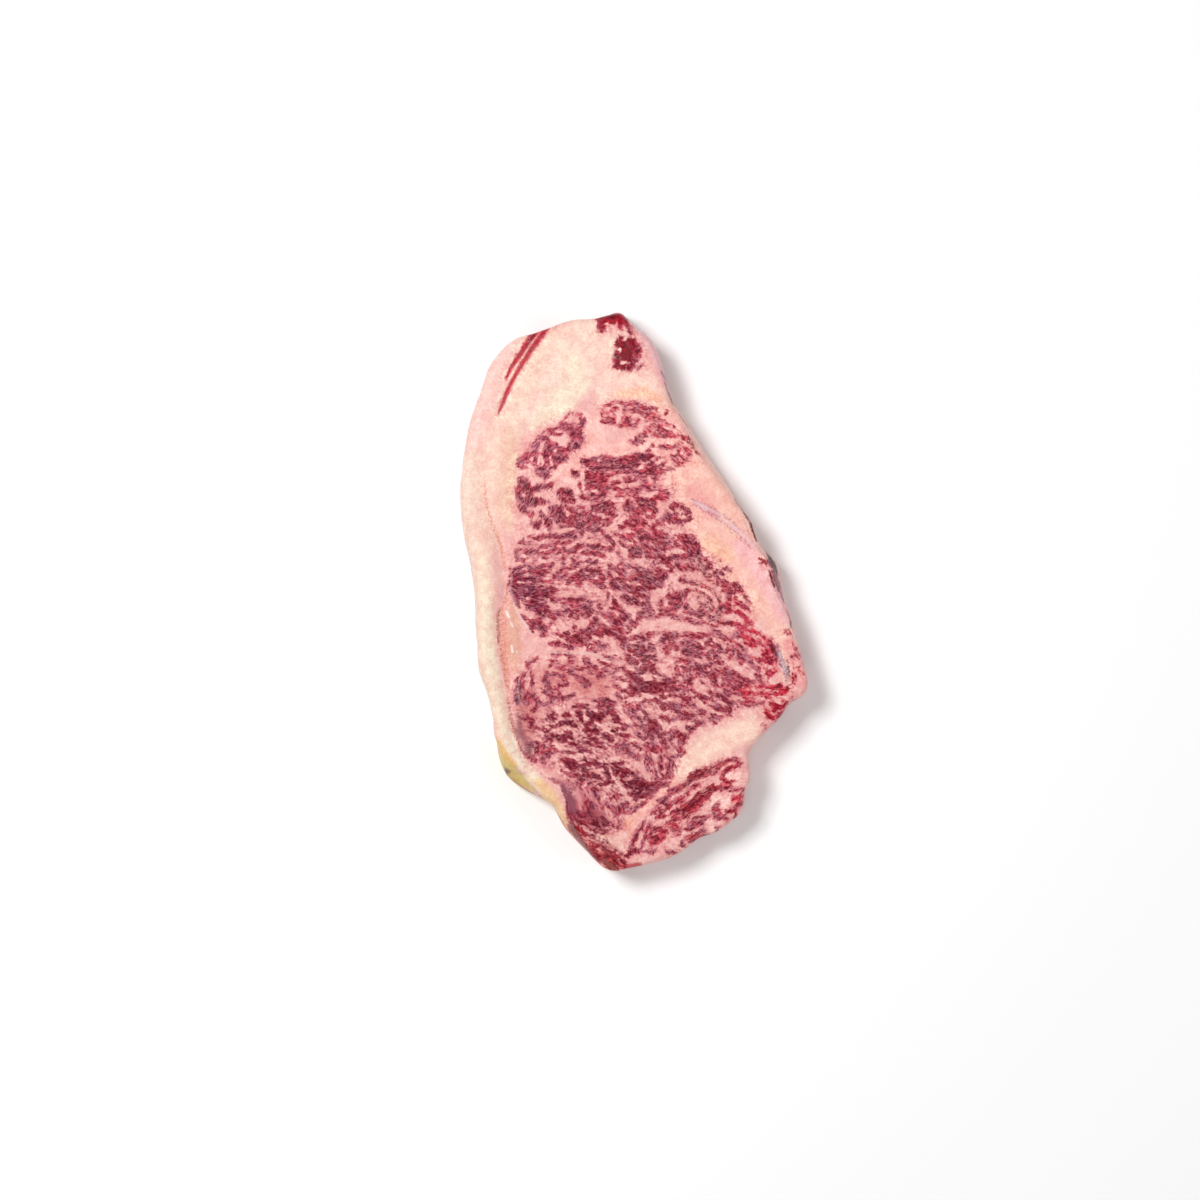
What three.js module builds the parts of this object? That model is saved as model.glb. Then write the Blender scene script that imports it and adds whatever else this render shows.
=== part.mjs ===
// A raw, heavily marbled boneless ribeye steak, lying flat with its cut face up.
// Millimetres, +Z up. +Y runs up the steak to its narrow, fatty end, and -X is the side with the thick fat edge.
// The origin is on the flat underside, below the middle of the steak's outline.
import * as THREE from "three";
import { mergeGeometries, mergeVertices } from "three/addons/utils/BufferGeometryUtils.js";

const thickness = 22; // of the slice, before its surface swells and sinks
const cellsAcross = 44; // grid of the cut face, from the fat edge to the far edge
const cellsAlong = 68; // and from the tail to the fatty end
const rimRadius = 3.2; // rounding where the cut face meets the side
const footInset = 2.4; // how far the flat underside stays inside the outline
const widestHeight = 0.36; // share of the thickness at which the side stands out furthest
const evenings = 40; // passes that even out the grid in plan
const slackSamples = 24; // fine steps from one outline point to the next
const turnSmoothing = 3; // ring points on either side that even out the direction in which the rim is drawn in

// The outline seen from above, counterclockwise, as the four sides of a rough rectangle.
// Each side starts where the one before it ends.
const tailSide = [
  [-51, -75], [-45.5, -79.5], [-36.5, -84], [-33, -86.5], [-28, -95.5], [-19.5, -105], [-12.5, -111],
  [-8, -113], [-1.5, -111.5], [8, -109.5], [15, -107.2], [22.5, -102.5], [27.5, -98.6], [33, -97.4], [39, -93.2],
];
const chineSide = [
  [44.2, -88.6], [45, -82.5], [45.8, -78.2], [47.6, -75.2], [46.8, -69.4], [46, -65], [48.4, -61.4], [52, -57.8],
  [58.5, -51.5], [63.5, -44.4], [67.6, -42.6], [70.2, -38], [68.8, -30], [65.8, -19], [62.8, -8], [60.4, 3],
  [58.2, 12.5], [55, 15.6], [50.4, 20.5], [47.6, 28.5], [42.8, 35.8], [38.2, 43.4], [32.6, 51.8], [25.2, 62.8],
  [21, 71], [16.8, 76], [13.6, 86], [10.6, 94.6],
];
const fattyEnd = [
  [7.2, 101.4], [0.4, 107], [-3.4, 111.4], [-5.8, 113], [-15, 110.4], [-25.5, 109.6], [-33, 107], [-41.5, 104],
  [-48, 102],
];
const fatEdge = [
  [-53.6, 97], [-59, 89], [-61.8, 81], [-66.6, 66], [-69.2, 53], [-70.2, 38], [-69.2, 25], [-65.4, 6], [-64.2, -10],
  [-63.4, -24], [-62.4, -33], [-59.8, -40], [-57.4, -48], [-55.8, -58], [-54.2, -68.5],
];

// Where the side leans outwards below the rim, so that it shows from above: a place, how far round it, how much.
const leaningSides = [
  { at: [-47, -76], reach: 17, lean: 5.2 }, // fat folded under the edge
  { at: [-26, -97], reach: 20, lean: 2.6 },
  { at: [-66, 0], reach: 60, lean: 1.2 },
  { at: [57, 6], reach: 20, lean: 3.2 }, // dried edge of the chine
  { at: [28, 60], reach: 44, lean: 2.2 },
];

// The crease that parts the raised roll of outer fat from the rest, from the fatty end down to the tail.
const crease = [
  [-53.6, 75], [-57.6, 61], [-60, 47], [-60, 35], [-56.8, 27.5], [-53.6, 19], [-52.4, 9], [-51.2, -1], [-53.6, -7],
  [-54, -17], [-52.8, -27], [-50.8, -39], [-49.6, -49], [-46.8, -59], [-41.6, -69], [-34.4, -76], [-28.8, -83],
  [-26.4, -91], [-21.6, -99], [-14.8, -106],
];
const rollRise = 1.5; // the roll of fat above the crease
const creaseDepth = 1.7;
const creaseWidth = 2.6;

// Thin membranes that part the bundles of the eye. The surface sinks along them.
const membranes = [
  [[-42, 23], [-46, 18], [-49, 9], [-49.5, 0], [-46, -9], [-40, -18]],
  [[-47, -40], [-45, -31], [-40, -26], [-32, -24.5], [-20, -25], [-10, -28], [0, -31]],
  [[-46, 60], [-40, 66], [-30, 70], [-22, 70]],
];
const membraneDepth = 0.5;
const membraneWidth = 2.2;

// Bundles that swell out of the cut face: centre, half length, half width, turn in degrees and rise.
const swellings = [
  { at: [-32, 52], long: 17, wide: 11, turn: 45, rise: 0.7 },
  { at: [-33, 5], long: 19, wide: 17, turn: 10, rise: 0.9 },
  { at: [-30, -42], long: 19, wide: 15, turn: -15, rise: 0.9 },
  { at: [0, 15], long: 26, wide: 22, turn: -35, rise: 0.6 },
  { at: [35, -27], long: 26, wide: 14, turn: -20, rise: 0.8 },
  { at: [-8, -72], long: 22, wide: 17, turn: 60, rise: 0.7 },
  { at: [22, -84], long: 28, wide: 11, turn: 38, rise: 0.8 }, // the small muscle at the tail
  { at: [0, 95], long: 8, wide: 7, turn: 90, rise: 0.5 },
];
// Fat that lies lower than the meat beside it.
const hollows = [
  { at: [26, -58], long: 26, wide: 8, turn: 38, rise: -0.9 },
  { at: [34, 22], long: 34, wide: 10, turn: -56, rise: -0.6 },
  { at: [-40, 84], long: 20, wide: 3.5, turn: 60, rise: -0.4 },
];
const slump = { at: [22, -90], reach: 40, drop: 2.6 }; // the tail is thinner than the middle
const undulation = { size: 19, rise: 0.45 };
const grain = { size: 6.5, rise: 0.16 };
const crags = { size: 7, depth: 0.7 }; // unevenness of the side

// A repeatable random number from 0 to 1 for a corner of the noise lattice.
function lattice(i, j, k) {
  const mixed = Math.sin(i * 127.1 + j * 311.7 + k * 74.7) * 43758.5453;
  return mixed - Math.floor(mixed);
}

// Smooth noise from -1 to 1.
function noise(x, y, z) {
  const [i, j, k] = [x, y, z].map(Math.floor);
  const [u, v, w] = [x - i, y - j, z - k].map((t) => t * t * (3 - 2 * t));
  let sum = 0;
  for (const [a, b, c] of [[0, 0, 0], [1, 0, 0], [0, 1, 0], [1, 1, 0], [0, 0, 1], [1, 0, 1], [0, 1, 1], [1, 1, 1]]) {
    const share = (a ? u : 1 - u) * (b ? v : 1 - v) * (c ? w : 1 - w);
    sum += share * lattice(i + a, j + b, k + c);
  }
  return 2 * sum - 1;
}

// A smooth hill of height 1 that ends at distance 1.
function hill(distance) {
  return distance >= 1 ? 0 : (1 - distance * distance) ** 2;
}

// A smooth line through points given as [x, y].
function smoothLine(points, closed = false) {
  const through = points.map(([x, y]) => new THREE.Vector3(x, y, 0));
  return new THREE.CatmullRomCurve3(through, closed, "centripetal").getPoints(
    (closed ? points.length : points.length - 1) * slackSamples,
  );
}

// count + 1 points at equal spacing along a run of close points.
function spaced(run, count) {
  const travelled = [0];
  for (let i = 1; i < run.length; i++) travelled.push(travelled[i - 1] + run[i].distanceTo(run[i - 1]));
  const total = travelled[travelled.length - 1];
  const points = [];
  for (let n = 0, i = 0; n <= count; n++) {
    const wanted = (total * n) / count;
    while (i < run.length - 2 && travelled[i + 1] < wanted) i++;
    const share = (wanted - travelled[i]) / (travelled[i + 1] - travelled[i]);
    points.push(run[i].clone().lerp(run[i + 1], share));
  }
  return points;
}

// The outline as evenly spaced points, counterclockwise from the corner where the tail side starts.
function outlineRing() {
  const sides = [tailSide, chineSide, fattyEnd, fatEdge];
  const cells = [cellsAcross, cellsAlong, cellsAcross, cellsAlong];
  const line = smoothLine(sides.flat(), true);
  const ring = [];
  let first = 0;
  sides.forEach((side, n) => {
    const last = first + side.length;
    ring.push(...spaced(line.slice(first * slackSamples, last * slackSamples + 1), cells[n]).slice(0, -1));
    first = last;
  });
  return ring;
}

// Directions that point out of the outline, evened out so that neighbours never cross when the ring is drawn in.
function outwardDirections(ring) {
  return ring.map((_, i) => {
    const sum = new THREE.Vector3();
    for (let s = -turnSmoothing; s <= turnSmoothing; s++) {
      const before = ring[(i + s - 1 + ring.length) % ring.length];
      const after = ring[(i + s + 1 + ring.length) % ring.length];
      sum.add(new THREE.Vector3(after.y - before.y, before.x - after.x, 0).normalize());
    }
    return sum.normalize();
  });
}

function leanAt(point) {
  let lean = 0.5;
  for (const side of leaningSides) {
    lean += side.lean * hill(Math.hypot(point.x - side.at[0], point.y - side.at[1]) / side.reach);
  }
  return lean;
}

// Distance from a place to a line of close points, and which side of the line it is on: positive to its right.
function distanceTo(line, x, y) {
  let nearest = Infinity;
  let side = 1;
  for (let i = 0; i + 1 < line.length; i++) {
    const [a, b] = [line[i], line[i + 1]];
    const [dx, dy] = [b.x - a.x, b.y - a.y];
    const along = THREE.MathUtils.clamp(((x - a.x) * dx + (y - a.y) * dy) / (dx * dx + dy * dy), 0, 1);
    const [ox, oy] = [x - a.x - along * dx, y - a.y - along * dy];
    if (Math.hypot(ox, oy) < nearest) {
      nearest = Math.hypot(ox, oy);
      side = dx * oy - dy * ox > 0 ? -1 : 1;
    }
  }
  return { nearest, side };
}

// Height of an oval bulge or hollow at a place.
function ovalRise({ at, long, wide, turn, rise }, x, y) {
  const angle = THREE.MathUtils.degToRad(turn);
  const [dx, dy] = [x - at[0], y - at[1]];
  const along = (dx * Math.cos(angle) + dy * Math.sin(angle)) / long;
  const across = (dy * Math.cos(angle) - dx * Math.sin(angle)) / wide;
  return rise * hill(Math.hypot(along, across) / 1.25);
}

const creaseLine = smoothLine(crease);
const membraneLines = membranes.map((points) => smoothLine(points));

// Height of the cut face.
function faceHeight(x, y) {
  let height = thickness;
  height += undulation.rise * noise(x / undulation.size, y / undulation.size, 0.5);
  height += grain.rise * noise(x / grain.size, y / grain.size, 7.5);
  height -= slump.drop * hill(Math.hypot(x - slump.at[0], y - slump.at[1]) / slump.reach);
  for (const oval of [...swellings, ...hollows]) height += ovalRise(oval, x, y);

  const { nearest, side } = distanceTo(creaseLine, x, y);
  const strength = THREE.MathUtils.smoothstep(55 - y, 0, 60); // the crease fades towards the fatty end
  const onRoll = side > 0 ? 1 - Math.exp(-nearest / creaseWidth) : 0;
  height += rollRise * strength * onRoll;
  height -= creaseDepth * (0.25 + 0.75 * strength) * hill(nearest / (2 * creaseWidth));
  for (const line of membraneLines) {
    height -= membraneDepth * hill(distanceTo(line, x, y).nearest / membraneWidth);
  }
  return height;
}

// The side in section, from the rim of the cut face down to the underside.
// inset is the distance inside the outline, drop the distance below the rim, both as shares of the lengths named.
const sideSection = [
  { leanShare: 1, rimShare: 1, heightShare: 1 },
  { leanShare: 1, rimShare: 0.5, dropShare: 0.13 },
  { leanShare: 1, rimShare: 0.15, dropShare: 0.48 },
  { leanShare: 0.95, rimShare: 0, dropShare: 1 },
  { leanShare: 0.4, rimShare: 0, heightShare: 0.62 },
  { leanShare: 0, rimShare: 0, heightShare: widestHeight },
  { leanShare: 0, rimShare: 0, footShare: 0.12, heightShare: 0.14 },
  { leanShare: 0, rimShare: 0, footShare: 0.5, heightShare: 0.035 },
  { leanShare: 0, rimShare: 0, footShare: 1, heightShare: 0 },
];

// One ring of the side, from the outline ring: level 0 is the rim of the cut face, the last one is the foot.
function sideRing(ring, outward, level) {
  const { leanShare, rimShare, dropShare = 0, footShare = 0, heightShare = 1 } = sideSection[level];
  return ring.map((point, i) => {
    const rough = level > 0 && footShare < 1 ? crags.depth : 0;
    const wobble = rough * noise(point.x / crags.size, point.y / crags.size, 1.3 * level);
    const inset = leanShare * leanAt(point) + rimShare * rimRadius + footShare * footInset;
    const rimInset = leanAt(point) + rimRadius;
    const rim = point.clone().addScaledVector(outward[i], -rimInset);
    const rimHeight = faceHeight(rim.x, rim.y);
    const placed = point.clone().addScaledVector(outward[i], wobble - inset);
    placed.z = rimHeight * heightShare - dropShare * rimRadius;
    return placed;
  });
}

// Gives a plane's grid of points new places. place(u, v) has u and v from 0 to 1.
function reshapedGrid(across, along, place) {
  const grid = new THREE.PlaneGeometry(1, 1, across, along);
  const position = grid.getAttribute("position");
  for (let n = 0; n < position.count; n++) {
    const u = Math.round((position.getX(n) + 0.5) * across);
    const v = Math.round((position.getY(n) + 0.5) * along);
    const point = place(u, v);
    position.setXYZ(n, point.x, point.y, point.z);
  }
  return grid;
}

// One pass of elliptic smoothing in plan, which keeps the lines of a curved grid from crossing.
function evenOut(points) {
  for (let i = 1; i + 1 < points.length; i++) {
    for (let j = 1; j + 1 < points[i].length; j++) {
      const [west, east, south, north] = [points[i - 1][j], points[i + 1][j], points[i][j - 1], points[i][j + 1]];
      const across = new THREE.Vector2(east.x - west.x, east.y - west.y);
      const along = new THREE.Vector2(north.x - south.x, north.y - south.y);
      const [alpha, beta, gamma] = [along.lengthSq(), across.dot(along), across.lengthSq()];
      for (const axis of ["x", "y"]) {
        const twist = points[i + 1][j + 1][axis] - points[i - 1][j + 1][axis]
          - points[i + 1][j - 1][axis] + points[i - 1][j - 1][axis];
        const pull = alpha * (east[axis] + west[axis]) + gamma * (north[axis] + south[axis]) - (beta / 2) * twist;
        points[i][j][axis] = pull / (2 * (alpha + gamma));
      }
    }
  }
}

// The cut face: a grid stretched between the four sides of its rim, then evened out.
function cutFace(rim) {
  const [a, b] = [cellsAcross, cellsAlong];
  const tail = (i) => rim[i];
  const chine = (j) => rim[a + j];
  const end = (i) => rim[a + b + (a - i)];
  const fat = (j) => rim[(2 * a + b + (b - j)) % rim.length];
  const points = Array.from({ length: a + 1 }, (_, i) =>
    Array.from({ length: b + 1 }, (_, j) => {
      if (j === 0) return tail(i);
      if (i === a) return chine(j);
      if (j === b) return end(i);
      if (i === 0) return fat(j);
      const [u, v] = [i / a, j / b];
      const point = new THREE.Vector3();
      point.addScaledVector(tail(i), 1 - v).addScaledVector(end(i), v);
      point.addScaledVector(fat(j), 1 - u).addScaledVector(chine(j), u);
      point.addScaledVector(tail(0), -(1 - u) * (1 - v)).addScaledVector(tail(a), -u * (1 - v));
      return point.addScaledVector(end(0), -(1 - u) * v).addScaledVector(end(a), -u * v);
    }),
  );
  for (let pass = 0; pass < evenings; pass++) evenOut(points);
  for (let i = 1; i < a; i++) {
    for (let j = 1; j < b; j++) points[i][j].z = faceHeight(points[i][j].x, points[i][j].y);
  }
  return reshapedGrid(a, b, (i, j) => points[i][j]);
}

// The side: a strip wrapped round the steak, its lowest row first.
function sideWall(rings) {
  const last = rings.length - 1;
  return reshapedGrid(rings[0].length, last, (i, level) => rings[last - level][i % rings[0].length]);
}

// The flat underside.
function underside(foot) {
  const flat = new THREE.ShapeGeometry(new THREE.Shape(foot.map((point) => new THREE.Vector2(point.x, point.y))));
  flat.index.array.reverse();
  return flat;
}

function steakGeometry() {
  const ring = outlineRing();
  const outward = outwardDirections(ring);
  const rings = sideSection.map((_, level) => sideRing(ring, outward, level));
  const pieces = [cutFace(rings[0]), sideWall(rings), underside(rings[rings.length - 1])];
  for (const piece of pieces) {
    piece.deleteAttribute("normal");
    piece.deleteAttribute("uv");
  }
  const closed = mergeVertices(mergeGeometries(pieces), 1e-3);
  closed.computeVertexNormals();
  return closed;
}

const steak = new THREE.Mesh(
  steakGeometry(),
  new THREE.MeshStandardMaterial({ color: "#b4525a", roughness: 0.4, metalness: 0 }),
);
steak.name = "steak";

const part = new THREE.Group();
part.add(steak);
export default part;
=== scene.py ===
# A raw, heavily marbled ribeye steak on a pale floor, seen from straight above.
# Its marbling is drawn as strokes of lean and fat. It is kept on the mesh as attributes,
# which the shader reads. Places and widths are in millimetres, in the steak's own frame:
# +Y is towards its fatty end, and -X towards its thick fat edge.
import math

import bmesh
import bpy
import numpy as np
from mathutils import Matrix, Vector, noise
from mathutils.geometry import delaunay_2d_cdt


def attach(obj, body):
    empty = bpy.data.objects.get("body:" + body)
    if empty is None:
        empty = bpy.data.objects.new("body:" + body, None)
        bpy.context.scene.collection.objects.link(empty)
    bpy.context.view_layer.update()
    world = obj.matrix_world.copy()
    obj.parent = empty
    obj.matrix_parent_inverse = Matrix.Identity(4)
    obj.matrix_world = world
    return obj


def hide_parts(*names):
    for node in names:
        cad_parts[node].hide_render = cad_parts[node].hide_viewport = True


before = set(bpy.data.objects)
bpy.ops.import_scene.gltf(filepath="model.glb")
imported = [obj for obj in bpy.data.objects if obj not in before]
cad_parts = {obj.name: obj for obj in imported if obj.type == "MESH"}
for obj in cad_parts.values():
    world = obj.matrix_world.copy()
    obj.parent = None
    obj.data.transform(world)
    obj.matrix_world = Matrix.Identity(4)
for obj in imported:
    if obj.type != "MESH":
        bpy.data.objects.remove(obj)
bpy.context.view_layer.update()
mm = 0.001
tiny = 1e-6  # keeps divisors above zero

# The marbling of the cut face, drawn as strokes: runs of (x, y, half width).
# In each muscle, lean is laid first, then fat over it, then fine lines of lean over that.
muscles = {
    "topCorner": {  # the red corner of the fatty end
        "lean": [
            [(-14,109.4,1), (-12.6,108,1.9), (-12.9,105.8,1.7)],
            [(-13,109.6,1.4), (-9.6,109.8,2), (-6.8,110.6,1.8), (-5,111,1.6)],
            [(-9.4,108,.9), (-8,108.2,.8)], [(-5.4,109.4,1.4), (-5.2,107.4,1), (-5.4,105.6,.5)],
            [(-4,110.4,1.4), (-3,107.6,.8), (-1.8,105,.6), (-1.2,103.4,.3)],
        ],
        "fat": [[(-11.6,107.2,.3), (-10.6,107.4,.5)]],
    },
    "topIslet": {  # the round spot of lean in the fatty end
        "lean": [
            [(-5.4,101.4,.9), (-6.6,98.6,1), (-7.2,95.6,.9), (-6.6,92.4,1.5), (-7,90.6,1.2)],
            [(-2,100.4,1.1), (-.4,99.4,1.6), (1,97,1.6), (1.4,94.6,1.4)],
            [(-3.6,98.6,1.7), (-3,95.8,2.4), (-2,93.6,1.6)],
            [(-7,90.4,.9), (-4,89.8,1), (-1.6,89.4,1), (-.4,91,1.2), (.4,92.6,.8)],
            [(-5,93.6,.7), (-2,93.2,1.2), (.6,92.6,.8)],
        ],
        "fat": [
            [(-6.7,97.5,.3), (-5.6,97.2,.7), (-5.4,96.2,.4)], [(-4.8,91.6,.8), (-3.2,91.8,.6)],
        ],
        "lines": [[(1.8,98.2,.3), (3,96.2,.3)], [(1.6,89,.3), (3.4,90.6,.4)]],
    },
    "fatStreaks": {  # two thin streaks in the fatty end
        "lean": [
            [(-39.6,104.4,1.6), (-41.4,101,1.4), (-44,97,1.1), (-47,93,.9), (-49.6,88.6,.5), (-51.4,85,.2)],
            [(-34.8,106,.9), (-37,103,.9), (-40,99,1.1), (-43,94,1), (-45.4,90,.7), (-48,85.4,.6),
             (-50.4,81,.7), (-52,77,.5), (-53.6,73,.4), (-54.2,71.5,.2)],
            [(-31,107.4,.4), (-34,106.6,.5)], [(-35.6,103.4,.2), (-38.6,98.6,.2)],
        ],
        "fat": [[(-38.6,102.6,.3), (-41.6,98.6,.4), (-44.6,93.6,.4)]],
    },
    "upperLeft": {  # the lobe below the fatty end
        "lean": [
            [(-46,51.4,1), (-43.6,53.2,1.6), (-41.6,53.6,2), (-38,52.6,2.2)],
            [(-38.6,57,2.6), (-36,55,4), (-32.5,54.8,4.2), (-29,55.6,2.6)],
            [(-32.6,58.6,2.2), (-29,56.8,1.8), (-25.6,57.6,1.9), (-22.8,59.6,2)],
            [(-24.6,62.6,1.6), (-22.4,62.4,2.4), (-20.9,60.4,1.4)],
            [(-34.4,64.8,1.2), (-32.4,64.6,1.3), (-28,65.2,.9), (-24,64.8,1.5), (-21.4,66,1.6),
             (-19.9,68.4,.8)],
            [(-33,63.2,.8), (-30.2,63,1.1), (-28.6,63.6,.5)],
            [(-37.6,62,.8), (-35.4,61.4,.9), (-34,60.2,.9)],
            [(-31.8,52.2,1.6), (-29,52.6,1.4), (-27.4,53.2,.8)],
            [(-38.2,48.6,1.7), (-36,48,2.2), (-35.2,46.6,1.5)], [(-34,49.4,.8), (-31.8,49.6,.9)],
            [(-45,49.6,.6), (-43.4,49.2,1)], [(-29,67.4,1), (-27,67,.9), (-25,66.4,1)],
        ],
        "fat": [
            [(-33.4,61.9,.8), (-31,61,1.1), (-28.4,60.4,1.9), (-27.2,62,1.4)],
            [(-28.8,59.2,1.3), (-27.4,58.6,.7)], [(-31.2,64.3,.6), (-29.4,64.2,.5)],
            [(-43.2,47.8,1.6), (-41,47.4,1.5), (-40.8,49,1)],
            [(-38.2,51.2,.6), (-37.4,53.8,1), (-36.4,51.6,.7)], [(-37.6,56.6,.8), (-36.6,58.4,1)],
            [(-41,52.8,.9), (-40.4,54,.5)], [(-31.4,56.2,.9)], [(-33.4,54,.3), (-33,51,.4)],
        ],
        "lines": [
            [(-47,51,.5), (-45.4,53.6,.4), (-42,56,.5), (-40.4,59,.5), (-37.8,62,.4), (-35,65,.5)],
            [(-28,67.6,.3), (-27.2,69.8,.4), (-25.6,71.4,.4), (-23,71.8,.4), (-21.4,70.8,.4),
             (-21.6,68.4,.5)],
        ],
    },
    "upperRight": {  # the loose lobe towards the chine side
        "lean": [
            [(-12.6,73.2,.4), (-11,74.8,.6), (-8,75.6,.7), (-4.4,75.6,.5), (-1.8,75.5,.8)],
            [(-13,71.2,.4), (-10,71.9,.6), (-8.2,72.6,.8), (-7,73.8,.5)],
            [(-12.2,68.2,1), (-10,68.8,1.3), (-8.4,68.6,1.5)], [(-3.6,73.2,.8), (-3.8,71.8,.5)],
            [(-.6,75,.6), (1.4,74.8,.9), (3,74,.7), (5,73.8,.8), (7,73.2,.7), (9.2,73.2,.4)],
            [(-1.6,72.8,.8), (.4,72.4,1.2), (3,71.9,1.4), (5.6,71.6,1.4), (8,71,.9), (10.4,70.4,.4)],
            [(4,70.2,.6), (6.4,69.9,.8), (9.6,70.2,.6)],
            [(4,68.8,.3), (7,68.8,.5), (10,68.5,.5), (12.2,68.3,.4)],
            [(-4.6,70,.5), (-2.6,68.8,1.6), (-2,67.2,1.6), (-5.6,67,.8)],
            [(-1,66.2,1), (.6,66.4,1), (1.6,68,.7), (2.2,69,.4)],
            [(4.2,65.6,.3), (6.4,66.2,.5), (9,66.2,.5), (12,66.9,.7), (14.4,66.7,.5), (16.6,66.3,.3)],
            [(9.6,64.8,.5), (11.4,64,1.2), (13,64.2,1)],
            [(7.8,63,.8), (10,62.8,1), (12,62.8,1.4), (14.2,63,.9)],
            [(4.4,64.2,.5), (6.4,64.1,.6), (7.6,63.4,.7)],
            [(.8,61.4,.9), (2.6,62.2,1.3), (4.2,62.4,.9), (5,63.8,.4)],
            [(-1.6,60.2,.5), (.6,60.7,.8), (3,60.8,.7)], [(-.4,59.3,.5), (1.6,59.5,.5), (3.4,60,.5)],
            [(15,62,.4), (17,62.5,.4), (19.2,62.5,.5), (21,61.7,.7), (22.4,61,.4)],
            [(10.8,58.4,.7), (12.4,57.8,1.2), (14.4,57.6,.9)],
            [(15,57.4,.4), (16.8,58.7,.4), (18.4,59.2,.7), (19.6,59.6,.5)],
            [(19.6,57.4,.7), (21,56.6,1), (22,55.4,.8), (21.6,54.2,.5)],
            [(19.4,53.4,.5), (20.6,52.8,.8), (22,52,.4)], [(16.6,52.4,.8), (17.6,51.4,.8), (19.6,50.5,.5)],
            [(5.4,56.4,.4), (6.6,57.4,.5), (7.6,58.6,.4)], [(13,71.5,.8)],
        ],
        "fat": [
            [(-5.4,73,.9), (-5.9,70.8,1.3), (-6.4,68.8,.8)], [(-.6,70,.8), (.8,70.4,.9), (1,69,.4)],
            [(-10.6,73.4,.8), (-8.8,73.8,.4)],
        ],
        "lines": [
            [(14,64.8,.3), (15.4,64,.3), (17,62.8,.3), (18,64.2,.3)],
            [(19.4,61.2,.4), (21,60.2,.4), (22.8,59.4,.4), (23.6,58,.4), (22.4,56.2,.3)],
            [(24,57.6,.3), (24.8,56,.3), (26.4,55.4,.4)],
            [(19,58,.4), (18.2,56.4,.4), (17,54.9,.5), (15.4,53.4,.4)],
            [(9,53,.5), (11,53.7,.4), (13,54,.3), (15,54.5,.3)], [(17.6,54.9,.4), (19.2,54.1,.4)],
        ],
    },
    "middleTop": {  # the dense top of the eye
        "lean": [
            [(-20,52.6,1.1), (-19,51.8,1.6), (-17.8,51,.8)],
            [(-15.6,52.2,1.7), (-13,53,1.4), (-10.4,52.8,1.6), (-7,51.6,1.6), (-4,52.2,1.8), (-1,53.2,2),
             (2,53.4,2), (5,53.6,1.6), (7.4,54.2,.8)],
            [(-16,49.6,1.9), (-12,50,1.8), (-8,49.8,1.6), (-4,50.2,1.6), (-1,51,1.9), (1.4,50.6,1)],
            [(-24.4,47.8,.8), (-23,47,1), (-21,46.8,.6)],
            [(-19,46,2.1), (-16.5,47.4,2.4), (-13,47,2.4), (-10.6,46.6,1)],
            [(-20.6,42.6,1.6), (-17.4,43,2.6), (-14,42.8,2.6), (-12,43.4,2), (-11.2,40.6,1.3)],
            [(-21,38.2,.8), (-19.4,37.4,1), (-17.6,36.6,.7)],
            [(-17,39.4,1.4), (-14,39.4,1.8), (-12,38.8,1.2), (-15,37.2,.9)],
            [(-8.6,47.4,.5), (-6,48,.8), (-3,48,1), (0,47.8,1), (2.4,47.6,1.3), (4.4,48.2,1.4),
             (6.6,48.6,1.5), (8.4,47,1.1)],
            [(5.2,50.6,.9), (7,51.4,1), (8.2,49.8,.9)], [(10.2,48.4,.5), (11.2,50.4,.9), (12.4,51.7,.4)],
            [(8.8,47.6,.7), (10.4,48,.6), (12,48.7,.4), (14,49.3,.35), (15.6,49.3,.3)],
            [(8.2,45.8,.9), (8.4,44.2,.5), (8.2,42,.4)],
            [(-3.8,45.2,.5), (-2,44.7,1.2), (-.4,44.8,.6), (1.6,45.2,.5), (3.4,46,.4)],
            [(-6.2,44,.4), (-8.2,43.4,.6), (-8.8,42.4,.6), (-7.6,41.5,.7), (-5.6,41.1,.6), (-3,41.3,.5),
             (-.8,40.8,.4)],
            [(-6.6,38.2,.7), (-5.4,39,.7), (-4.4,40,.5), (-3.6,40.8,.5)],
            [(-3,39.6,.4), (-1.4,39.6,.6), (0,39.6,.7)],
            [(.2,38.8,1), (1.4,40.4,1), (3,42,1), (4.6,42.4,1.1), (6.2,41.2,.9), (7.4,40.6,.5)],
            [(2.4,43.8,.6), (4.6,44.4,.7), (6,43,.5)],
            [(1,37.6,1), (2.4,36.8,1.2), (4.4,36.4,1.5), (6.4,37,1.3), (8.2,36.6,1.1), (9,38,.7)],
            [(3,34.8,1.4), (5.2,34,1.8), (7.2,34.6,1.7), (8.2,33,1.1), (7.8,31.2,1), (7.4,30,.7),
             (5.6,29.8,.6)],
            [(-2.4,36,.8), (-3,34.4,1.1), (-2.4,33,1.2), (-.8,34.4,1.2), (.2,33,1.5), (1.2,31.6,1.7),
             (2.8,32,1.2)],
            [(-1,30.2,.8), (.2,29.4,.8), (1,28.2,1.2), (3,27.8,1.5), (5,27.2,.7)],
            [(-3.4,27.4,.9), (-2,27,1.1), (-1.6,28.2,.5)], [(-6,26,.5), (-5,25.6,.8), (-4,26.4,.5)],
            [(10.2,40.4,.5), (10.6,38.6,.9), (11,37,.8), (12.8,37.3,.9), (13.3,39,.8), (12.6,41,.5)],
            [(12,29.6,.7), (13.6,30.6,1), (14.6,29,1.5), (16.4,28.4,1.1), (18.6,28,.8), (21,28.8,.7),
             (22.8,29.8,.7)],
            [(22.6,30,.7), (22,31.6,1), (20.4,33.2,1), (18.4,34.4,.9), (16.4,34.8,1), (15,34,.8)],
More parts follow.
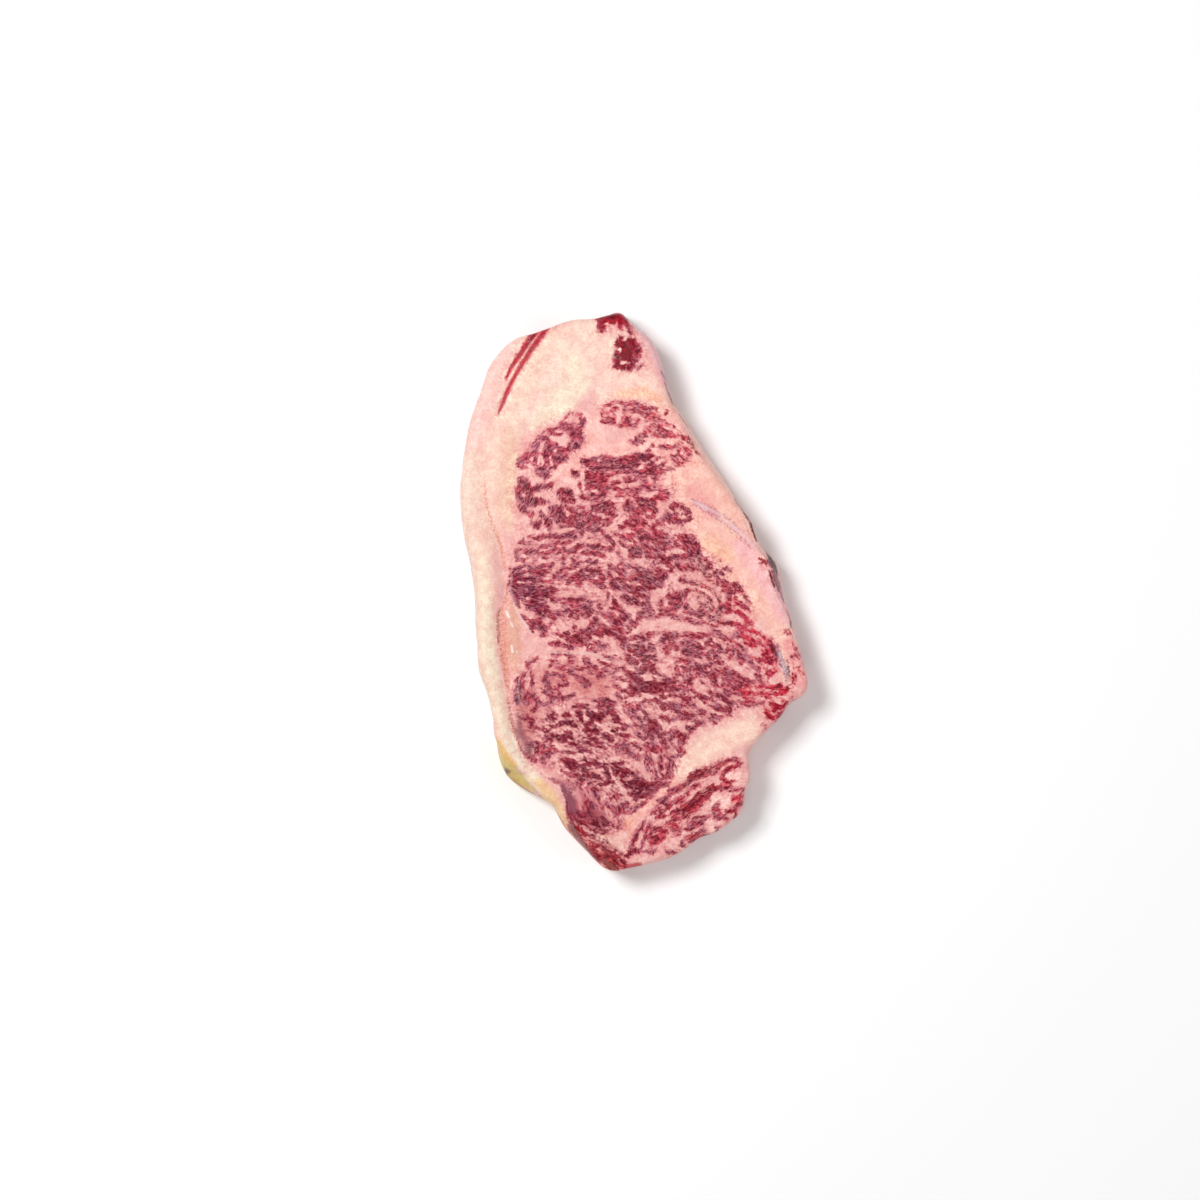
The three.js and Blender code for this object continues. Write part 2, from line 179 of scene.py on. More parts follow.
            [(16,30.8,.8), (18.4,31.4,.6)], [(9,27.6,.6), (9.8,28.2,.5), (11,27.3,.4), (12,28,.6)],
        ],
        "fat": [
            [(-20.8,48.8,.7), (-20.6,44.6,.9), (-20,40.4,.6)], [(-14,52.6,.7)],
            [(-16.4,40.4,.6), (-14.8,40.2,.6)], [(3,50.4,.7), (2.4,49.4,.5), (1.4,48.6,.4)],
            [(1,42.6,.5), (2,44.6,.4)], [(4,38.6,.8), (6.8,38.4,.7), (7.6,39.2,.8)], [(1.2,34.4,.5)],
            [(5.4,31.6,.7), (6.4,30.8,.4)], [(17.4,32.6,.9), (19,32.4,.6), (18,29.8,.6), (20.4,30,.7)],
        ],
        "lines": [[(8.6,45.2,.3), (10,43.8,.3), (11.2,42,.3)], [(-.6,40,.4), (1.6,38.6,.4)]],
    },
    "leftMiddle": {  # small clumps beside the crease
        "lean": [
            [(-46.4,41.4,.9), (-44.4,41,1.3), (-42,41,1.4), (-39.6,41,1.2), (-37.6,42,1), (-35,42,.8),
             (-33.2,42.6,.7)],
            [(-46,39,1.3), (-44.2,37.6,2.4), (-42,36.4,2.1), (-39.8,36.2,1.7), (-37.4,36.4,1.1),
             (-35.6,36,.5), (-33.8,35.8,.3)],
            [(-45,44,1.4), (-43,44,1.1), (-41.6,39.4,1.2)], [(-44.6,34,1.4), (-43.4,32.6,.9)],
            [(-42.2,31.2,.6), (-40.8,30.8,1.1)], [(-40.4,27,.6), (-38.6,26.6,1.5), (-37.4,27.6,.7)],
            [(-37.2,31.8,.4), (-36.2,30.6,.7), (-35.2,29,1.2), (-34,27.4,1.5), (-33.4,25.6,.9)],
            [(-29.6,39.8,1.3), (-27,40,1.5), (-25.6,38.4,1.8), (-24.2,36.8,1)],
            [(-29,37.2,1.1), (-27,36.6,1)],
            [(-32.4,33.2,1.5), (-30.6,32.6,2.3), (-29.2,30.6,1.9), (-30.2,28.6,1.5)],
            [(-27.4,34.6,.8), (-26.4,33.4,.8), (-24.4,32,1)],
            [(-24,33,.7), (-22.2,33.8,.7), (-20.4,34.2,.5)],
            [(-24.8,30,1.4), (-22,30.6,1.1), (-19.4,31,.9), (-17.2,31.6,.9)],
            [(-27.6,28,1.1), (-24.4,28,2), (-21.2,27.6,2.2), (-22.2,25.4,1.4), (-20.8,24,1)],
            [(-18.6,29.4,1.3), (-15.4,29.8,1.1), (-12.4,28.9,.7), (-9.4,28.4,.7)],
            [(-16.4,33.2,1.5), (-13.4,34,2.1), (-10.4,34.6,1.7), (-8.6,33.6,1.2)],
            [(-13,32,1.1), (-10,31.6,1.3), (-8.2,30.8,.9)],
            [(-18.6,27.6,1), (-15.4,27.8,.8), (-12.4,27.4,.6), (-10.2,27,.5)],
            [(-18.4,25.4,.9), (-16,24.6,1.2), (-13.8,24.8,.8)], [(-29,26.2,.7), (-27,26.8,.8)],
        ],
        "fat": [
            [(-44.2,38.8,.7), (-43.2,38,.5)], [(-14.4,31,.6), (-12.2,31,.5)],
            [(-12.4,29.8,.4), (-10,29.9,.4)], [(-27,32,.8), (-26.6,30.4,.7)],
            [(-18,34.6,.5), (-17.4,33.4,.4)],
        ],
        "lines": [
            [(-46.6,37.6,.5), (-45,35,.5), (-44.4,33,.4)], [(-31.4,30.4,.4), (-34.4,29.6,.5)],
        ],
    },
    "centre": {
        "lean": [
            [(0,26,1.5), (1.2,24.8,1.3), (2.8,24,1.4), (3.6,25.2,.7)],
            [(-3.2,22.8,.5), (-1.6,22.6,.7), (0,22.2,.5)],
            [(-4.6,22.6,.8), (-3.8,21.2,.8), (-1.6,20.8,.6), (.2,20.2,.5)],
            [(-5.2,20.6,.5), (-5,19,.5), (-3.4,18.4,.7), (-1.2,18.5,.6)],
            [(3,21.4,1.5), (5,22,1.6), (7.2,21.4,1.9), (9.2,20.4,1.9), (11.2,19.4,1.7), (13.4,19.4,1)],
            [(7.4,25.4,.9), (8,24,1.2), (9.6,22.6,1.4), (11,23.4,1.1), (12.6,22.4,1.1)],
            [(8,26.4,.8), (9.2,27.4,.6)], [(15.6,21.2,.7), (17,20,.7), (18.4,18.6,.6)],
            [(19,21.4,1.5), (21,22,1.3), (23.2,22.4,.8), (20.4,20,1.5), (23.2,20.2,1.6), (25,18.8,1.2),
             (25.8,17.4,.7)],
            [(19.8,17.8,.9), (22.2,18,1.2), (24.4,16.4,1.4), (25.8,14.2,1.2), (26.6,12,1.3)],
            [(1.2,20.4,.8), (3,19.2,.9), (4.4,17.4,.8)],
            [(-.6,18.2,.8), (-.8,16.4,1.1), (-1.2,14.4,1.3), (1,15.4,1.2), (2.8,14.8,1.1)],
            [(1.2,17.4,.6), (2.6,16.6,.6)],
            [(5,18.6,.9), (7,17.6,.8), (9.4,17.2,.9), (11.6,17.2,.7), (14.2,17.2,.7), (16.4,17.9,.6)],
            [(4.8,16,.8), (5.6,14.6,1.1), (7.4,13.8,1.1), (8.4,13.2,.7), (6.4,15.8,.7)],
            [(9.6,15.4,.8), (11.4,14.2,1.3), (11.8,12.4,1.4), (13.4,11.4,1.3), (14.2,13,1), (15.4,14.4,.9),
             (17.8,13.9,.9), (20.2,13.4,.6)],
            [(7,11,.4), (9.2,11.3,.4)], [(-6.2,11.2,.5), (-4,10.6,.5), (-1.8,10.3,.4), (0,10.1,.4)],
            [(-8.4,9.4,.6), (-6.4,9,1.1), (-5,7.8,1.4), (-3,9,.7)],
            [(1,9,1.4), (2.8,8.4,1.3), (1.2,7,1.5), (4.2,6.8,1.5), (6.2,8,1.1)],
            [(8,8.6,.9), (10.2,8,1.7), (12.2,7.4,1.5), (10.4,6,1.8), (13,6.4,.9)],
            [(-9,4.6,1), (-6.8,4.6,1.6), (-4,5,1.6), (-.6,5.2,1.7), (2.6,4.6,1.8), (6,4.8,1.9),
             (9,4.6,1.8), (11,3.8,1.1)],
            [(-8.4,2.4,1.2), (-6,2,1.2), (-2.6,1.6,1.5), (1,1.2,1.5), (4.6,1.8,1.6), (8,2.4,1.5), (10,2,1)],
            [(14.6,8.4,.6), (15.2,9.6,.5), (14.4,10.4,.4)],
            [(17.6,11.4,.8), (18.8,10,1.1), (21,9.8,1.3), (23.4,10,1.2), (26,9.4,1.3)],
            [(20.6,15.4,.7), (22.8,14.8,.8), (23.6,13,1)],
            [(28.4,13,.9), (29.8,11.6,.9), (30.6,10,.9), (28.6,9.2,1.1)],
        ],
        "fat": [
            [(-3.6,16.4,1.2), (-3.2,14,.9)], [(-2.4,19.6,.5), (-.6,19.6,.6)], [(.4,21.2,.4), (1.6,20,.4)],
            [(-3,8.2,.4), (-1.6,8.6,.6), (-1,7.6,.4)], [(-2.6,7,.4), (0,6.3,.4)],
            [(-3,3.9,.3), (0,3.5,.35), (2.4,2.8,.3)], [(12.8,15.9,.5), (15,16,.6), (17.4,16.2,.9)],
            [(4.4,12.6,.4), (3.4,16.4,.4)],
        ],
        "lines": [
            [(-5.8,17.4,.4), (-6.4,15.6,.4), (-5.6,13.8,.4), (-3.8,12.9,.4), (-1.6,12.8,.4)],
            [(10.4,17,.5), (10.6,15,.5)],
        ],
    },
    "hook": {  # a thin hooked streak
        "lean": [
            [(-12.6,24.6,.5), (-11.6,22.6,.8), (-10.2,21.6,.8), (-8.8,20.4,.6), (-8.2,18.6,.6),
             (-9.2,17,.9)],
            [(-8.6,23.8,.3), (-7.4,22.8,.4), (-5.4,22,.4)],
        ],
    },
    "leftLower": {  # bundles that run across, beside the crease
        "lean": [
            [(-42,21.9,.5), (-40,21.8,.7), (-38,21.6,.9), (-36.4,22.2,.8), (-34,22,.7)],
            [(-34,22.8,.4), (-31.4,22.6,.7), (-30,21.6,.9), (-27.6,22,1.1), (-25.4,22.4,1.4),
             (-24.4,24,.7), (-23.6,22,.7)],
            [(-45.6,19.6,.5), (-44,19.8,.5), (-42,19.6,.4), (-40,19.8,.4)],
            [(-37.8,17.8,.5), (-35,18.2,.5), (-32.6,19.2,.5), (-30.6,19.8,.7), (-28,19.2,1), (-25.8,20,.8)],
            [(-43.2,16.4,.7), (-41.8,15.8,1.1), (-40.6,16.4,.8)],
            [(-40,17,.5), (-38.6,15.8,.6), (-36.8,15,.7), (-35,15.4,.8), (-32.8,16.4,.7), (-31,17.4,.8),
             (-29.6,16.6,.7)],
            [(-36.4,14.4,.6), (-35.4,13.4,.4)], [(-46.8,16.6,.4), (-46.8,14.6,.7), (-46.6,12.8,.6)],
            [(-46.6,16.4,.3), (-45,16.4,.3)], [(-45.8,13.2,.6), (-44.6,13,.7)],
            [(-28,17,.7), (-26.4,15.8,.9), (-24,16.4,.9), (-22,18.2,1.2), (-20,18.4,.9)],
            [(-28,15,.5), (-27.8,13.2,.9), (-28.2,12,.6)], [(-24.6,13,.8), (-24,12.2,.8), (-22.6,11.4,.5)],
            [(-47.4,8.8,1), (-45,9.8,.5), (-43.4,10.8,.5), (-42,11,.3)],
            [(-48.8,8.6,.8), (-48.4,6.6,1.3), (-46.4,6.8,1.6), (-44.2,7.8,1)],
            [(-47.6,5,1.1), (-44.4,5.1,.9), (-41.4,5.4,.8), (-38.8,5.5,.6)],
            [(-42,9.4,.7), (-40.2,9,.7), (-39.4,10,.4), (-37,9.9,.4), (-34.8,10.6,.6), (-33.2,10.2,1),
             (-32.4,11.4,.4)],
            [(-41,7.8,.8), (-38.4,7.6,1.2), (-36.6,7.6,1.1), (-37.4,6,.9), (-35.2,7.8,.6)],
            [(-48.8,3.2,1.4), (-46.4,2.8,1.4), (-44,2.4,1.2), (-41,2.2,1.1), (-38.6,2,1)],
            [(-40.4,4,.6), (-37.6,4.2,.7), (-35,4,.6), (-32.4,5,.7), (-30.4,7,.9), (-28.2,9.2,.8),
             (-25.6,9.6,.7), (-23.6,9.8,.6)],
            [(-32,6.2,.6), (-30,5.4,.9), (-28.4,5.6,.8), (-27.4,7,.8)],
            [(-26.4,3,.7), (-25,5.2,1), (-23,6.6,1.1), (-21,7.8,1.1), (-22.4,4.6,1.3), (-20,6,1.2)],
            [(-21,12,.3), (-18.8,12.4,.6), (-16.2,12,.8), (-14.4,13,.5)],
            [(-20,15.6,1), (-17,15.4,1), (-14,15,1), (-12,14,.6)],
            [(-18.4,18.2,.9), (-16,18.1,.9), (-13.4,18.1,.9), (-11,17.6,.8), (-9.2,17.4,.8)],
            [(-20.8,9,.5), (-18,9,.8), (-16.4,7.6,1.2), (-14.4,8.6,1), (-13.4,6.6,1.2), (-12.2,5.2,.9)],
            [(-17.6,5,.6), (-15.6,4.4,.8), (-14,3,1.2), (-12.4,2.4,1)], [(-22.4,2.2,.5), (-20.8,3.6,.5)],
            [(-10.6,12,.3), (-9,10.8,.5), (-10,8.4,.8), (-9.6,6.4,.7)],
        ],
        "fat": [[(-17,14.2,.3), (-14.6,14,.3)], [(-46,3.8,.3), (-43,3.8,.3)]],
        "lines": [[(-50,3,.4), (-49.4,6.4,.4), (-49,9.4,.4)]],
    },
    "leftBundle": {  # the rounded bundle below them
        "lean": [
            [(-48,1,1.6), (-46.6,-.8,1.7), (-46.4,-3,1.4), (-45.4,-5.4,.9)],
            [(-45,1.4,1), (-43.6,-1.4,1.2), (-41.4,-.4,1.4), (-39,1.2,1.3), (-37,1.6,1)],
            [(-43,-4.4,1), (-42.4,-6.4,.9), (-40.6,-4,1.3), (-39.4,-6.2,1.2), (-38.6,-3.2,1.1)],
            [(-40.6,-2,.9), (-37.6,-1,1.2), (-35.4,-1.4,1.3), (-33.4,-.6,1.5), (-31.8,.6,1.4),
             (-34.6,1.6,1.2)],
            [(-36.6,-3.6,1.2), (-36.8,-6,1.2), (-35,-6,.7), (-36.4,-9,1.1), (-38.4,-8,.8)],
            [(-33.2,-3,1), (-31.4,-3.4,.7), (-29.8,-2.8,.6)],
            [(-34.4,-6.6,.5), (-33.6,-8.2,.6), (-31.6,-8.8,.9), (-28.6,-8.2,.9), (-26.4,-7.4,.8)],
            [(-33.4,-9.4,.6), (-31.8,-10,.7), (-32.6,-9,.8)],
            [(-41.6,-12,.7), (-39.4,-12.2,1.3), (-37.6,-11.6,1.1), (-37.4,-13.8,1.2), (-39.4,-14.2,.8)],
            [(-36,-15,1.1), (-34.8,-14.8,.7), (-33.4,-12.8,.6), (-32.4,-12,.6)],
            [(-36.8,-16.8,.7), (-35.6,-15.8,.9)],
            [(-44.8,-9.8,.4), (-43,-10.4,.4), (-41.4,-12.2,.5), (-41.2,-14.4,.5), (-40.4,-15.6,.4)],
            [(-28,-3,.8), (-25.6,-3.4,1.1), (-22.6,-3.4,.9), (-20,-2.8,1), (-18,-3.4,.9), (-17.6,-4.8,1)],
            [(-28.6,-4.6,.9), (-25,-5.4,.8), (-22,-5.8,.9), (-19.6,-5.8,1.4), (-18,-7,1.4)],
            [(-25.6,-8.6,.6), (-24.4,-10.4,.7), (-22.4,-11.2,.5)],
            [(-23,-7,.8), (-21,-7.6,1.3), (-19,-8.8,1.4), (-17,-8,.6)],
            [(-26.4,-7,.4), (-24.4,-8,.4), (-22.8,-9.6,.4)],
            [(-30.4,-16.4,.9), (-29,-17.4,.7), (-27.2,-16.8,1.1), (-25.6,-18.2,1.6), (-23.4,-18,1.7),
             (-21.6,-16.6,1.2)],
            [(-23.8,-14,.4), (-23.8,-15.6,.5)],
            [(-24.4,-20.4,1), (-22,-20,1.4), (-20.2,-19,1.1), (-18.6,-19.4,.9)],
            [(-33.8,-20.7,.4), (-31.6,-20.5,.5), (-30,-20,.4)],
            [(-31,-21.4,.3), (-28,-21.2,.4), (-25.4,-22,.7), (-23.4,-21.4,.5)],
            [(-17.4,-13,.5), (-16.2,-12.4,.8), (-14.6,-11.2,.6)],
        ],
        "fat": [
            [(-45.4,-4,.6), (-44.4,-6,.8)], [(-34,-4,.7), (-32.8,-5.8,1), (-31,-6.4,1), (-29.4,-6.2,.6)],
            [(-24.2,-16.6,.4), (-25.4,-17.2,.3)], [(-41,-10,.5), (-39,-10,.4)],
        ],
        "lines": [
            [(-40,-14.8,.4), (-42,-12.6,.3), (-44.4,-10.4,.3)], [(-35.4,-7,.4), (-34,-8.4,.4)],
        ],
    },
    "centreLow": {
        "lean": [
            [(-8.4,-2.6,.9), (-7.4,-4.6,1)], [(-10.2,-.6,.5), (-10.6,-2.6,.4), (-11,-4,.4)],
            [(-4,-2.2,1.4), (-1.8,-3.2,1.5), (1,-3.8,1.5)],
            [(1.4,-1.4,1.2), (4,-1.4,1.3), (5.8,-2.6,1.1), (6,-4.4,1)],
            [(3.4,-5,1.1), (5.4,-6.4,1.2), (7.2,-7.6,.9), (4,-7.2,.9)],
            [(-8.8,-6.8,.7), (-6.8,-6,.9), (-5.4,-7.4,.8), (-4,-8.8,.9)],
            [(2,-8.4,.5), (4.4,-8.5,.5), (7.8,-8.4,.5)], [(-12.6,-9,.6), (-10.6,-9.4,.9), (-8.2,-8.8,.8)],
            [(-9.2,-11,1), (-6.6,-12,1.5), (-4,-10.6,1.5), (-2,-9.4,1)],
            [(-8,-14.2,1.3), (-5.6,-14.4,1.2), (-4.6,-16.4,1)],
            [(-15.6,-11,.8), (-14.4,-12.4,1.1), (-12.8,-14,1.3), (-10.6,-16,1.4), (-8.2,-17,1.4),
             (-5.8,-18.4,1.4), (-3.8,-20,1)],
            [(-17.4,-13.4,.7), (-18.4,-15.4,.9), (-16,-16,1.2), (-13.4,-17,1.1)],
            [(-1,-12,1.1), (.8,-12.6,.9), (1.6,-10.6,.8), (3.6,-10.1,.6), (6,-10,.5), (9,-10,.4)],
            [(-2.6,-14,.9), (-1.4,-15,.7), (-2.8,-16.6,.6)],
            [(-2.6,-18.4,.5), (0,-18.6,.8), (2.4,-17.6,1), (4,-19,1)],
            [(5.2,-18.8,.9), (6.4,-17.2,.9), (7.8,-16.6,.7)],
            [(8,-16.4,.4), (10.6,-16.5,.4), (13.4,-16.3,.4), (17,-16.7,.4)],
            [(10.8,-3.6,.6), (11,-4.8,.9), (10,-5.4,.5)],
            [(13.8,-1.4,1), (15.4,-2.2,1.2), (17.4,-1,1.3), (18.4,-3.4,1.2)],
            [(10.6,-7.4,.9), (13,-7.4,1.2), (15.6,-6.8,1.4), (17.6,-5.4,1.3), (15,-4.6,1.1)],
            [(10,-9,.5), (13,-9.2,.6), (16.4,-9.4,.6), (20,-10.6,.5), (24,-12,.5), (28,-12.6,.5),
             (31.6,-13.4,.5), (34,-13.6,.4)],
            [(-2.2,-21.8,1.1), (-.4,-22.4,1.6), (2.2,-22,1.5), (4.6,-22.4,1.6), (6.8,-22.4,1.4),
             (8,-24.6,1.3), (7.8,-27,1.2)],
            [(-3.4,-24.6,1), (-1,-25.4,1.9), (2,-25.4,1.9), (5,-25.6,1.9), (6,-27.6,1.3)],
            [(-2.4,-27.4,.9), (.6,-27.8,1.2), (3.4,-28.6,1.6), (4.6,-30.4,1.4)],
            [(-4.4,-20.8,.8), (-4,-22.4,.7)],
            [(11,-19.8,1.1), (12.6,-18,1.1), (14.8,-17.9,1.1), (16.8,-18.4,.9)],
            [(13,-20.8,1), (15.6,-21.2,1.2), (17.2,-22.6,1)],
            [(12.6,-22.6,.8), (13.4,-24.6,.9), (14.6,-25.4,.5)],
            [(-18.4,-23.2,.4), (-17,-23,.6), (-15.2,-23.8,.5), (-13.8,-23.4,.4)],
            [(-16.4,-20.6,.7), (-14,-20.4,.8), (-12.2,-21.4,.8), (-10.4,-21.4,.6)],
            [(-19.6,-17.4,.8), (-17.8,-18.4,.8)], [(-22,-21.6,.4), (-18.4,-21.4,.5)],
            [(-12.2,-25.6,.3), (-10,-26.2,.5), (-8.4,-27,.3)], [(-14.2,-5.6,.5), (-13.2,-6.8,.5)],
        ],
        "fat": [
            [(-3,-6,.6), (-1,-6.6,1.2), (.6,-7.4,1)], [(-9.4,-1.6,.4), (-9.2,-4.4,.4)], [(-6.2,-3.6,.5)],
            [(7.4,-1.6,.6), (7.4,-4,.8), (8.2,-6.4,.8), (9.4,-8,.5)],
            [(9.8,.4,1.2), (11.4,-.8,1.4), (12.6,1.4,.8)], [(12.6,-4.4,.6), (12.6,-5.8,.4)],
            [(-14.2,-9.4,.5), (-12.6,-11.4,.5), (-10.4,-13.6,.4)],
            [(-2.8,-17.7,.4), (0,-16.1,.8), (3,-14.4,1.3), (6,-13,1.7), (9.4,-12.2,1.5), (12,-12.8,1.7),
             (16,-13.8,1.9), (20,-14.2,1.7), (25,-14.8,1.3), (29.4,-14.8,.6)],
            [(-3.6,-14.8,.6), (-2.2,-15.4,.3)], [(10,-17.6,.6), (8.8,-19.2,.9), (8,-20.2,.6)],
            [(9.4,-22,.7), (9.8,-24.4,.8), (10.8,-26.6,1)], [(-1.2,-20.2,.4), (.8,-20.2,.4)],
            [(13.6,-20,.4)], [(15.4,-23.8,.6)], [(2.6,-23,.3)], [(3.2,-26.6,.4)],
            [(-9,-20,.8), (-8.2,-22,1.2), (-7.6,-24,1.4), (-10.4,-24.6,.9)],
        ],
    },
    "spiral": {  # the curl right of the middle
        "lean": [
            [(18.4,4.8,.7), (20.4,4.4,.5)],
            [(22,3.8,.6), (24.6,3.4,.9), (27.4,2.4,1), (30,1.2,1), (32,-.6,.9), (33.4,-2.6,.8),
             (34.4,-4.6,.8)],
            [(18.4,-.6,.9), (20.4,-2.6,.9), (20.8,-.2,.8), (22.6,.9,.7), (25.4,.6,.8), (28.2,-.6,.9),
             (30.4,-2.6,.9), (31.6,-5,.8), (31.4,-7.4,.8)],
            [(20.2,-4.8,.9), (21,-7,1), (23.6,-8.4,1.1), (26.4,-9.2,1.3), (28.8,-9,1.1), (27,-6.6,1.3),
             (28.8,-5,1)],
            [(25.4,-2.4,.4), (26.4,-4.6,.5)],
            [(30.4,-9.8,1), (32.8,-11.4,.9), (35.4,-12.4,.7), (38,-12.4,.8), (40.6,-12.8,.8),
             (42.6,-14,.9), (44.4,-15,.6)],
            [(34.4,-7,1.1), (33,-9,.9), (35.4,-9.6,.5)],
            [(35.4,-6,1.1), (37.4,-5.2,1.2), (38.4,-7.6,.9), (36.8,-8.4,.7)],
        ],
        "fat": [
            [(19,2,1), (22,2.4,.6), (25,1.9,.5), (28,.7,.7), (31,-1.2,.8), (32.8,-3.8,.6), (33,-6,.4)],
            [(23.8,-2.8,1.2), (24.4,-5.2,1.5)], [(27,-2.6,.8), (27.6,-4,.6)],
            [(23.6,6.6,.9), (26,6,1), (28,5,.7), (30,4.4,.4)], [(30.8,5.4,.4), (33,4.6,.6), (34.4,3.8,.4)],
            [(35.6,-1.2,.9), (36.2,-3.4,.9)], [(36.6,-10,.7), (39.4,-10.4,1.3), (41.2,-11,.7)],
        ],
    },
    "rightEdge": {  # flecks along the fat of the chine side
        "lean": [
            [(28,7.4,.9), (30,6.2,.7)], [(32,7.7,.5), (33.6,7.6,.8), (35.8,7,.4)], [(33.6,8.8,.4)],
            [(35.4,9.5,.4), (37,9.1,.6), (38.8,8.2,.3)],
            [(31.4,7.2,.4), (33.2,5.6,.5), (35.2,4,.6), (37.4,2.8,.6)],
            [(29,5.2,.4), (31.4,3.8,.5), (33.6,2.8,.6), (35.6,2.4,.7)], [(36.6,5.2,.4), (37.2,4.2,.5)],
            [(36,.8,.8), (37.6,1.4,.9), (39.4,.4,.8)],
            [(39.2,3,.6), (41,2.4,1.2), (42.3,1.2,1.1), (43.2,-.2,.7)], [(41,.4,.9)],
            [(43.8,-.8,.4), (45,-2.4,.5), (46.4,-4,.3)],
            [(38.2,-.8,.9), (38.4,-3,1), (40.4,-2.6,.7), (40.2,-3.8,.5)], [(40.8,-4.4,.6), (42.4,-5,.6)],
            [(43.4,-5.8,.7), (45.2,-6.4,.7), (46,-7.4,.4)],
            [(41.4,-7.6,.7), (43.2,-9,.8), (44.6,-11,.8), (45.2,-13,.9), (46.8,-12.2,.7)],
        ],
        "fat": [[(41,-6.2,1)]],
    },
    "rightLower": {
        "lean": [
            [(18.6,-17.6,1), (22,-17.8,1.1), (26,-18,.9), (28.6,-17.4,.8), (31,-16.4,.6), (33.6,-16.4,.9),
             (35.2,-17.8,.9)],
            [(20,-20.6,1.4), (23.6,-21.4,1.6), (26.6,-22.6,1.4), (29,-21.4,.6), (31,-18.8,.8)],
            [(20,-23.4,1.4), (23.4,-24.6,1.4), (26.6,-24.8,1.1), (29.4,-25,1), (30.2,-26.6,.7)],
            [(19,-27,.9), (22,-28,1)],
            [(32,-21.8,1), (34,-21.6,1), (34.8,-23.4,.9), (33,-24.6,1), (31.8,-23.4,.8)],
            [(32.4,-26,.8), (34.2,-26.6,.7), (33.8,-28,.7), (36,-28.5,.5)],
            [(36.8,-24.4,.6), (37.6,-22.9,.7), (39.2,-23,.8), (39.6,-24.8,.8), (38.2,-26,.7)],
            [(41.4,-26.4,.9), (42,-24.8,.9), (43.4,-25.6,.9), (43.6,-27.6,.8), (42.4,-28.8,.7)],
            [(36.4,-18.6,.8), (39,-18.8,.7)],
            [(38.6,-19.6,.4), (41.6,-20.8,.5), (43.8,-22.8,.5), (45.6,-25.2,.5), (47,-27,.4)],
            [(44.8,-27.4,.5), (46.8,-28.6,.6), (48.4,-30,.5), (50,-31.6,.5)],
            [(40.4,-17.4,.8), (43.4,-17.2,.9), (45.6,-18.6,.8), (47.6,-19.4,.8), (49.6,-20.6,.6),
             (52.4,-21.8,.7)],
            [(44.6,-20.4,.7), (46.4,-21,.8), (47.8,-22.4,.6)],
            [(42.4,-16.8,.5), (44.4,-15.8,.5), (46.6,-15.8,.6), (48.6,-16.2,.5), (49.8,-16.9,.4)],
            [(50.6,-18.4,.5), (52,-18.3,.6), (53,-19.2,.5), (54.8,-19.8,.8)],
            [(53.6,-20.8,.9), (55.2,-21.4,1.2), (55.6,-23.6,1.4), (53.2,-24,.9), (51.8,-24.8,.8)],
            [(56.8,-25,.8), (56.4,-26.8,.9), (53.8,-27,1.1), (51.4,-27,.7), (54.6,-28.5,.6)],
            [(48.8,-26.4,.5), (50,-27.4,.5)],
            [(25.4,-29.8,1.3), (28,-30.2,1.5), (30.4,-29.4,.9), (32.4,-28.7,.5)],
            [(26,-32.4,1.3), (28.6,-32.6,.8), (31,-33.6,1.5), (33,-33.8,1.3), (31.8,-35.8,1.4),
             (33,-37.2,.8)],
            [(31,-31.2,.5), (33,-31.6,.7), (35.2,-31.5,.6), (36.6,-30.8,.5), (37.5,-30,.4)],
            [(34.8,-33,.8), (37.2,-32.6,.8), (39.4,-32.4,.8), (41.4,-33.4,.8), (43.6,-34.8,.9),
             (46,-35.6,.9), (48,-36.2,.8)],
            [(36,-34.8,.8), (38.8,-35.2,.9), (41.4,-36.2,1), (44,-37,.9), (46.4,-37.8,.6)],
            [(35.4,-37.4,.5), (38,-37.8,.7), (40.4,-38.6,.9), (43,-39.2,.7)],
            [(36.4,-39.6,.7), (39,-40.4,.9), (42,-40.7,.7), (45,-40.6,.6), (48.4,-40.8,.5), (52,-41.2,.6),
             (55.4,-41.2,.7), (58.4,-40.4,.7), (60.8,-39.4,.9), (62,-38.4,.7)],
            [(44,-42.6,.4), (46,-43.4,.6), (47.4,-43.6,.7), (47.4,-42.4,.5)],
            [(41,-43.6,.4), (43.2,-44.4,.5), (45.6,-45.3,.5), (48.8,-45.2,.4), (51,-44.4,.6),
             (52.6,-43.4,.4)],
            [(53.2,-38.3,.4), (55.2,-38,.6), (57.4,-38.4,.6), (58.4,-37.4,.6)],
            [(54.2,-34,.4), (55.4,-33.2,.6), (56,-31.8,.5)], [(53,-32.6,.4), (54.4,-31.6,.4)],
            [(48.6,-32.8,.6), (50.4,-34.8,.7), (51.6,-37.2,.6), (49.6,-38.4,.5)],
        ],
        "fat": [
            [(46.4,-23.8,1), (49,-23.6,1.4), (50.4,-22.6,.8)], [(46.6,-17.2,.5), (48,-17.4,.4)],
            [(51.4,-20.6,.4)],
            [(36.8,-28.4,.8), (39.4,-29.2,1), (42,-30.6,1.1), (44.4,-32.2,1.5), (46.6,-33.6,1.2),
             (48,-34.4,.5)],
            [(33.4,-29.6,.4), (35.6,-29.6,.5)], [(55.6,-35.4,1.7), (57.4,-34,1.5)], [(56.6,-32.6,.6)],
            [(24.8,-36,1.2), (25.4,-37.8,1.8), (27.4,-38.8,1.2)], [(39.4,-42,.5), (41.4,-42.6,.9)],
            [(48.6,-43.3,.5)], [(27,-20.8,.8), (28.4,-22,.5)], [(33.2,-22.8,.35)], [(42.4,-27,.4)],
        ],
    },
    "lowerCentre": {
        "lean": [
            [(24.6,-41.4,.6), (27,-42,1), (29.4,-42.8,.8), (28.4,-44.2,.7)],
